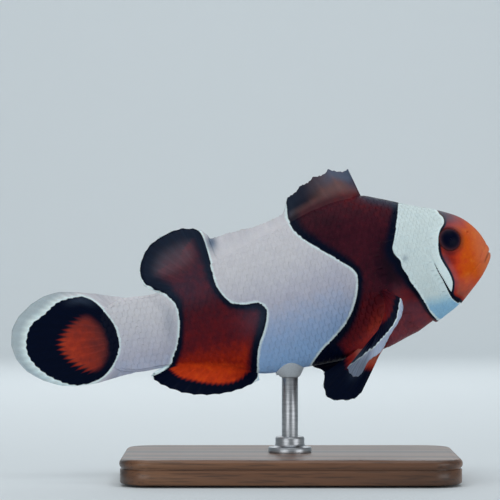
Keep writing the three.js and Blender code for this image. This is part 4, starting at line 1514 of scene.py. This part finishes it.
def fish_colours(material):
    """The markings with their painted light and shade, shared by skin, fins and scales. Returns the colour
    and the noise in the paint.
    """
    value = {"light": 1.0}
    for name in PAINTS:
        value[name] = add(material, "ShaderNodeAttribute", attribute_name=name).outputs["Fac"]
    place_on = add(material, "ShaderNodeTexCoord").outputs["Object"]
    # Pigment cells lie in clumps about half a millimetre across, drawn as coarse as they need to show.
    for name, size, detail, roughness in (("clump", 1.3, 3.0, 0.6), ("grain", 0.28, 2.0, 0.7)):
        value[name] = add(material, "ShaderNodeTexNoise", {
            "Vector": place_on, "Scale": per_mm(size), "Detail": detail, "Roughness": roughness,
        }).outputs["Fac"]
    for name, source, low, high, reach in (
        ("wobble", "grain", 0.3, 0.7, 0.03),
        ("mottle", "clump", 0.3, 0.7, 0.05),
        ("speckle", "grain", 0.2, 0.8, 0.06),
    ):
        value[name] = add(material, "ShaderNodeMapRange", {
            "Value": value[source], "From Min": low, "From Max": high, "To Min": -reach, "To Max": reach,
        }).outputs["Result"]
    # Each value takes on a share of another one.
    for name, extra, share in (
        ("edge", "wobble", 1.0),
        ("pale", "mottle", 1.0),
        ("warm", "mottle", 1.1),
        ("light", "tone", 0.035),
        ("light", "rays", 0.16),
        ("light", "speckle", 1.0),
    ):
        value[name] = add(material, "ShaderNodeMath", {
            0: value[extra], 1: share, 2: value[name],
        }, operation="MULTIPLY_ADD").outputs[0]
    for name, source, low, high, most in (
        ("rim", "edge", -0.55, -0.15, 0.9),
        ("inner", "core", CORE_START, CORE_END, 1.0),
        ("patch", "edge", -0.06, 0.08, 1.0),
    ):
        value[name] = add(material, "ShaderNodeMapRange", {
            "Value": value[source], "From Min": low, "From Max": high, "To Max": most,
        }, interpolation_type="SMOOTHSTEP").outputs["Result"]
    colour = {code: hex_colour(code) for code in (BLACK, RIM, VEIL, DUSK, PEACH)}
    for name, source, stops in (
        ("pale", "pale", PALE_STOPS), ("cool", "pale", COOL_STOPS), ("warm", "warm", WARM_STOPS),
    ):
        colour[name] = add(material, "ShaderNodeValToRGB", {"Fac": value[source]}, stops).outputs["Color"]
    # Each coat of paint: the colour that it makes, its share, and what lies under and over.
    for name, share, under, over in (
        ("white", "cool", "pale", "cool"),
        ("white", "rim", "white", RIM),
        ("warm", "inner", BLACK, "warm"),
        ("warm", "dusk", "warm", DUSK),
        ("warm", "blush_and_highlight", "warm", PEACH),
        ("fish", "patch", "white", "warm"),
        ("fish", "veil", "fish", VEIL),
    ):
        colour[name] = add(material, "ShaderNodeMix", {
            0: value[share], 6: colour[under], 7: colour[over],
        }, data_type="RGBA").outputs[2]
    shaded = add(material, "ShaderNodeVectorMath", {
        0: colour["fish"], "Scale": value["light"],
    }, operation="SCALE").outputs[0]
    return shaded, value["grain"], value["clump"]


def fish_skin(name, roughness, bump_height, coat):
    """Living fish skin cast and painted: satin, a little wet, with light going a short way in."""
    material = new_material(name)
    colour, grain, clump = fish_colours(material)
    bump = add(material, "ShaderNodeBump", {
        "Height": grain, "Strength": 0.35, "Distance": bump_height * MM,
    })
    rough = add(material, "ShaderNodeMapRange", {
        "Value": clump,
        "From Min": 0.3,
        "From Max": 0.7,
        "To Min": roughness - 0.06,
        "To Max": roughness + 0.08,
    })
    shader = add(material, "ShaderNodeBsdfPrincipled", {
        "Base Color": colour,
        "Roughness": rough.outputs["Result"],
        "IOR": 1.4,
        "Specular IOR Level": 0.05,
        "Normal": bump.outputs["Normal"],
        "Subsurface Weight": 0.1,
        "Subsurface Radius": (1.0, 0.6, 0.4),
        "Subsurface Scale": 0.6 * MM,
        "Coat Weight": coat,
        "Coat Roughness": 0.25,
    })
    return finish_material(material, shader)


def glass_eye():
    """Painted glass under a polished dome: a wide black pupil that melts into a dusky, rusty iris."""
    material = new_material("eye_painted_glass")
    radius = add(material, "ShaderNodeAttribute", attribute_name="tone").outputs["Fac"]
    place_on = add(material, "ShaderNodeTexCoord").outputs["Object"]
    fleck = add(material, "ShaderNodeTexNoise", {
        "Vector": place_on, "Scale": per_mm(0.35), "Detail": 3.0, "Roughness": 0.6,
    }).outputs["Fac"]
    shift = add(material, "ShaderNodeMath", {
        0: fleck, 1: 0.1, 2: -0.05,
    }, operation="MULTIPLY_ADD").outputs[0]
    total = add(material, "ShaderNodeMath", {
        0: radius, 1: 1 / EYE["radius"], 2: shift,
    }, operation="MULTIPLY_ADD").outputs[0]
    ring = add(material, "ShaderNodeValToRGB", {"Fac": total}, [
        (0, "#01061e"), (0.55, "#02061c"), (0.7, "#120d1e"), (0.82, "#2e1b29"), (0.92, "#4a282e"),
        (1, "#5e302d"),
    ])
    shader = add(material, "ShaderNodeBsdfPrincipled", {
        "Base Color": ring.outputs["Color"],
        "Roughness": 0.3,
        "IOR": 1.45,
        "Specular IOR Level": 0.05,
    })
    return finish_material(material, shader)


def oiled_walnut():
    """Planed and oiled walnut: dark lines of late wood along the base, fine pores, a soft low gloss."""
    material = new_material("base_oiled_walnut")
    place_on = add(material, "ShaderNodeTexCoord").outputs["Object"]
    along = add(material, "ShaderNodeMapping", {
        "Vector": place_on, "Scale": (0.08, 1.0, 1.0),
    }).outputs["Vector"]
    figure = add(material, "ShaderNodeTexNoise", {
        "Vector": along, "Scale": per_mm(9), "Detail": 4.0, "Roughness": 0.55, "Distortion": 0.6,
    }).outputs["Fac"]
    rings = add(material, "ShaderNodeTexWave", {
        "Vector": along, "Scale": per_mm(26), "Distortion": 9.0, "Detail": 3.0, "Detail Scale": 1.2,
    }, bands_direction="Y").outputs["Fac"]
    pores_at = add(material, "ShaderNodeMapping", {
        "Vector": place_on, "Scale": (0.05, 1.0, 1.0),
    }).outputs["Vector"]
    pores = add(material, "ShaderNodeTexNoise", {
        "Vector": pores_at, "Scale": per_mm(0.45), "Detail": 2.0, "Roughness": 0.7,
    }).outputs["Fac"]
    both = add(material, "ShaderNodeMath", {
        0: rings, 1: 0.45, 2: figure,
    }, operation="MULTIPLY_ADD").outputs[0]
    colour = add(material, "ShaderNodeValToRGB", {"Fac": both}, [
        (0.3, "#2c1a10"), (0.55, "#4a2e1c"), (0.8, "#6a452c"), (1, "#7c5538"),
    ]).outputs["Color"]
    dark = add(material, "ShaderNodeMapRange", {
        "Value": pores, "From Min": 0.36, "From Max": 0.5, "To Min": 0.55, "To Max": 1.0,
    }).outputs["Result"]
    shaded = add(material, "ShaderNodeVectorMath", {0: colour, "Scale": dark}, operation="SCALE").outputs[0]
    bump = add(material, "ShaderNodeBump", {"Height": pores, "Strength": 0.3, "Distance": 0.06 * MM})
    rough = add(material, "ShaderNodeMapRange", {"Value": figure, "To Min": 0.32, "To Max": 0.46})
    shader = add(material, "ShaderNodeBsdfPrincipled", {
        "Base Color": shaded,
        "Roughness": rough.outputs["Result"],
        "IOR": 1.48,
        "Coat Weight": 0.2,
        "Coat Roughness": 0.2,
        "Normal": bump.outputs["Normal"],
    })
    return finish_material(material, shader)


def brushed_steel():
    """Stainless steel turned and brushed round its axis: bright, with fine rings in the gloss."""
    material = new_material("rod_brushed_steel")
    place_on = add(material, "ShaderNodeTexCoord").outputs["Object"]
    rings_at = add(material, "ShaderNodeMapping", {
        "Vector": place_on, "Scale": (0.05, 0.05, 1.0),
    }).outputs["Vector"]
    rings = add(material, "ShaderNodeTexNoise", {
        "Vector": rings_at, "Scale": per_mm(0.15), "Detail": 2.0, "Roughness": 0.6,
    }).outputs["Fac"]
    bump = add(material, "ShaderNodeBump", {"Height": rings, "Strength": 0.25, "Distance": 0.02 * MM})
    colour = add(material, "ShaderNodeValToRGB", {"Fac": rings}, [(0.3, "#8e9296"), (0.7, "#b3b6ba")])
    rough = add(material, "ShaderNodeMapRange", {"Value": rings, "To Min": 0.24, "To Max": 0.42})
    shader = add(material, "ShaderNodeBsdfPrincipled", {
        "Base Color": colour.outputs["Color"],
        "Metallic": 1.0,
        "Roughness": rough.outputs["Result"],
        "Normal": bump.outputs["Normal"],
    })
    return finish_material(material, shader)


def moulded_silicone(name, dark, light):
    """Moulded silicone rubber: nearly matt, with a fine spark-eroded grain and a soft milky depth."""
    material = new_material(name)
    place_on = add(material, "ShaderNodeTexCoord").outputs["Object"]
    grain = add(material, "ShaderNodeTexNoise", {
        "Vector": place_on, "Scale": per_mm(0.2), "Detail": 2.0, "Roughness": 0.6,
    }).outputs["Fac"]
    bump = add(material, "ShaderNodeBump", {"Height": grain, "Strength": 0.4, "Distance": 0.03 * MM})
    colour = add(material, "ShaderNodeValToRGB", {"Fac": grain}, [(0.3, dark), (0.75, light)])
    shader = add(material, "ShaderNodeBsdfPrincipled", {
        "Base Color": colour.outputs["Color"],
        "Roughness": 0.6,
        "IOR": 1.41,
        "Subsurface Weight": 0.2,
        "Subsurface Radius": (1.0, 1.0, 1.0),
        "Subsurface Scale": 0.8 * MM,
        "Normal": bump.outputs["Normal"],
    })
    return finish_material(material, shader)


def studio_paper(code):
    """Plain matt background paper."""
    material = new_material("studio_paper")
    shader = add(material, "ShaderNodeBsdfPrincipled", {"Base Color": hex_colour(code), "Roughness": 0.9})
    return finish_material(material, shader)


# ---------------------------------------------------------------- making the fish

scaled_skin = fish_skin("skin_painted_cast", 0.5, 0.05, 0.04)
fin_skin = fish_skin("fin_membrane_painted", 0.48, 0.03, 0.03)
scale_horn = fish_skin("scale_painted_horn", 0.46, 0.02, 0.04)
rng = np.random.default_rng(20)

fish = Surface()
add_body(fish, 0)
add_spiny_dorsal(fish, rng, 1)
add_tail(fish, 1)
add_soft_fin(fish, SOFT_DORSAL, back, -FIN_SINK, 2, 1, under=False)
add_soft_fin(fish, ANAL, belly, FIN_SINK, 3, 1, under=True)
for number, (name, side) in enumerate((("right", -1), ("left", 1))):
    add_pectoral(fish, side, 4 + 2 * number, 1)
    add_pelvic(fish, side, PELVIC["turn_up"][name], 5 + 2 * number, 1)
skin_piece = fish.build("skin", [scaled_skin, fin_skin])
flesh = [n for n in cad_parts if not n.startswith(("stand_", "eye_"))]
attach(skin_piece, "root")
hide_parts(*flesh)

flank_centres = lattice(14, 72.6, FLANK["along"], FLANK["across"], -17, 17)
head_centres = lattice(7.5, 17.5, CHEEK["along"], CHEEK["across"], -13, 13)
for name, side in (("left", 1), ("right", -1)):
    coat = Surface()
    add_scales(coat, side, flank_centres, FLANK["along"], FLANK["across"], 0, rng)
    add_scales(coat, side, head_centres, CHEEK["along"], CHEEK["across"], 0, rng, head=True)
    crest = RIDGES[name]
    for row in crest["rows"]:
        add_scales(coat, side, ridge_row(*row), crest["along"], FLANK["across"], crest["ridge"], rng)
    scales = coat.build(f"scales_{name}", [scale_horn])
    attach(scales, "root")

eye_glass = glass_eye()
for name, side in (("left", 1), ("right", -1)):
    eye = add_eye(side).build(f"eye_{name}_glass", [eye_glass])
    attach(eye, "root")
    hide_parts(f"eye_{name}")

# ---------------------------------------------------------------- making the stand

walnut = oiled_walnut()
steel = brushed_steel()
pale_silicone = moulded_silicone("pad_moulded_silicone", "#b3bcc3", "#c3ccd3")
black_silicone = moulded_silicone("foot_moulded_silicone", "#17181a", "#26282b")

base = make_base(walnut)
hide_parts("stand_base")
pad_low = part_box("stand_pad")[0].z / MM
rod = make_rod(steel, pad_low)
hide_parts("stand_rod")
collar = make_collar(steel)
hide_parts("stand_collar")
pad = make_pad(pale_silicone, pad_low)
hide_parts("stand_pad")
feet = make_feet(black_silicone)
for piece in (base, rod, collar, pad, *feet):
    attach(piece, "root")

# ---------------------------------------------------------------- studio

FLOOR_FRONT = -1400
FLOOR_BACK = 900
WALL_HEIGHT = 1400
SWEEP = 300
HALF_BACKDROP = 1600
MIDDLE_OF_FISH = (-7, 0, 42)
# Each soft light: its place, what it faces, its length and width, and its power.
LIGHTS = {
    "overhead": ((0, -80, 520), MIDDLE_OF_FISH, (600, 500), 1.2),
    "front_left": ((-340, -560, 120), MIDDLE_OF_FISH, (420, 420), 1.0),
    "front_right": ((500, -420, 100), MIDDLE_OF_FISH, (420, 420), 1.05),
    "behind": ((-60, 420, 300), MIDDLE_OF_FISH, (500, 300), 0.5),
    "on_backdrop": ((0, 420, 620), (0, 900, 200), (900, 300), 1.6),
}
CAMERA_PLACE = (-7.4, -515, 42.5)


def make_backdrop(material):
    """One sheet of paper: a floor that sweeps up into a wall."""
    line = [(FLOOR_FRONT, 0), (FLOOR_BACK - SWEEP, 0)]
    line += arc_points((FLOOR_BACK - SWEEP, SWEEP), SWEEP, -90, 0, 16)[1:]
    line = np.array([*line, (FLOOR_BACK, WALL_HEIGHT)], float)
    sides = [np.column_stack([np.full(len(line), x), line]) for x in (-HALF_BACKDROP, HALF_BACKDROP)]
    row, column = net(2, len(line))
    faces = (row * len(line) + column)[:, ::-1]
    sheet = Surface()
    sheet.add(np.concatenate(sides) * MM, [faces], [np.zeros((*faces.shape, 2))], {})
    return sheet.build("studio_sweep", [material])


backdrop = make_backdrop(studio_paper("#d8e0e4"))

scene = bpy.context.scene
world = bpy.data.worlds.new("soft_room")
world.use_nodes = True
world.node_tree.nodes["Background"].inputs["Color"].default_value = hex_colour("#e6ecf0")
world.node_tree.nodes["Background"].inputs["Strength"].default_value = 0.42
scene.world = world

for name, (where, aim, size, power) in LIGHTS.items():
    lamp = bpy.data.lights.new(name, "AREA")
    lamp.shape = "RECTANGLE"
    lamp.size = size[0] * MM
    lamp.size_y = size[1] * MM
    lamp.energy = power
    light = bpy.data.objects.new(name, lamp)
    light.location = Vector(where) * MM
    light.rotation_mode = "QUATERNION"
    light.rotation_quaternion = ((Vector(aim) - Vector(where)) * MM).to_track_quat("-Z", "Y")
    scene.collection.objects.link(light)

camera_data = bpy.data.cameras.new("camera")
camera_data.lens = 200
camera_data.sensor_width = 36
camera_data.clip_start = 0.05
camera_data.clip_end = 10
camera = bpy.data.objects.new("camera", camera_data)
camera.location = Vector(CAMERA_PLACE) * MM
camera.rotation_euler = (math.radians(90), 0, 0)
scene.collection.objects.link(camera)
scene.camera = camera
scene.view_settings.view_transform = "Standard"
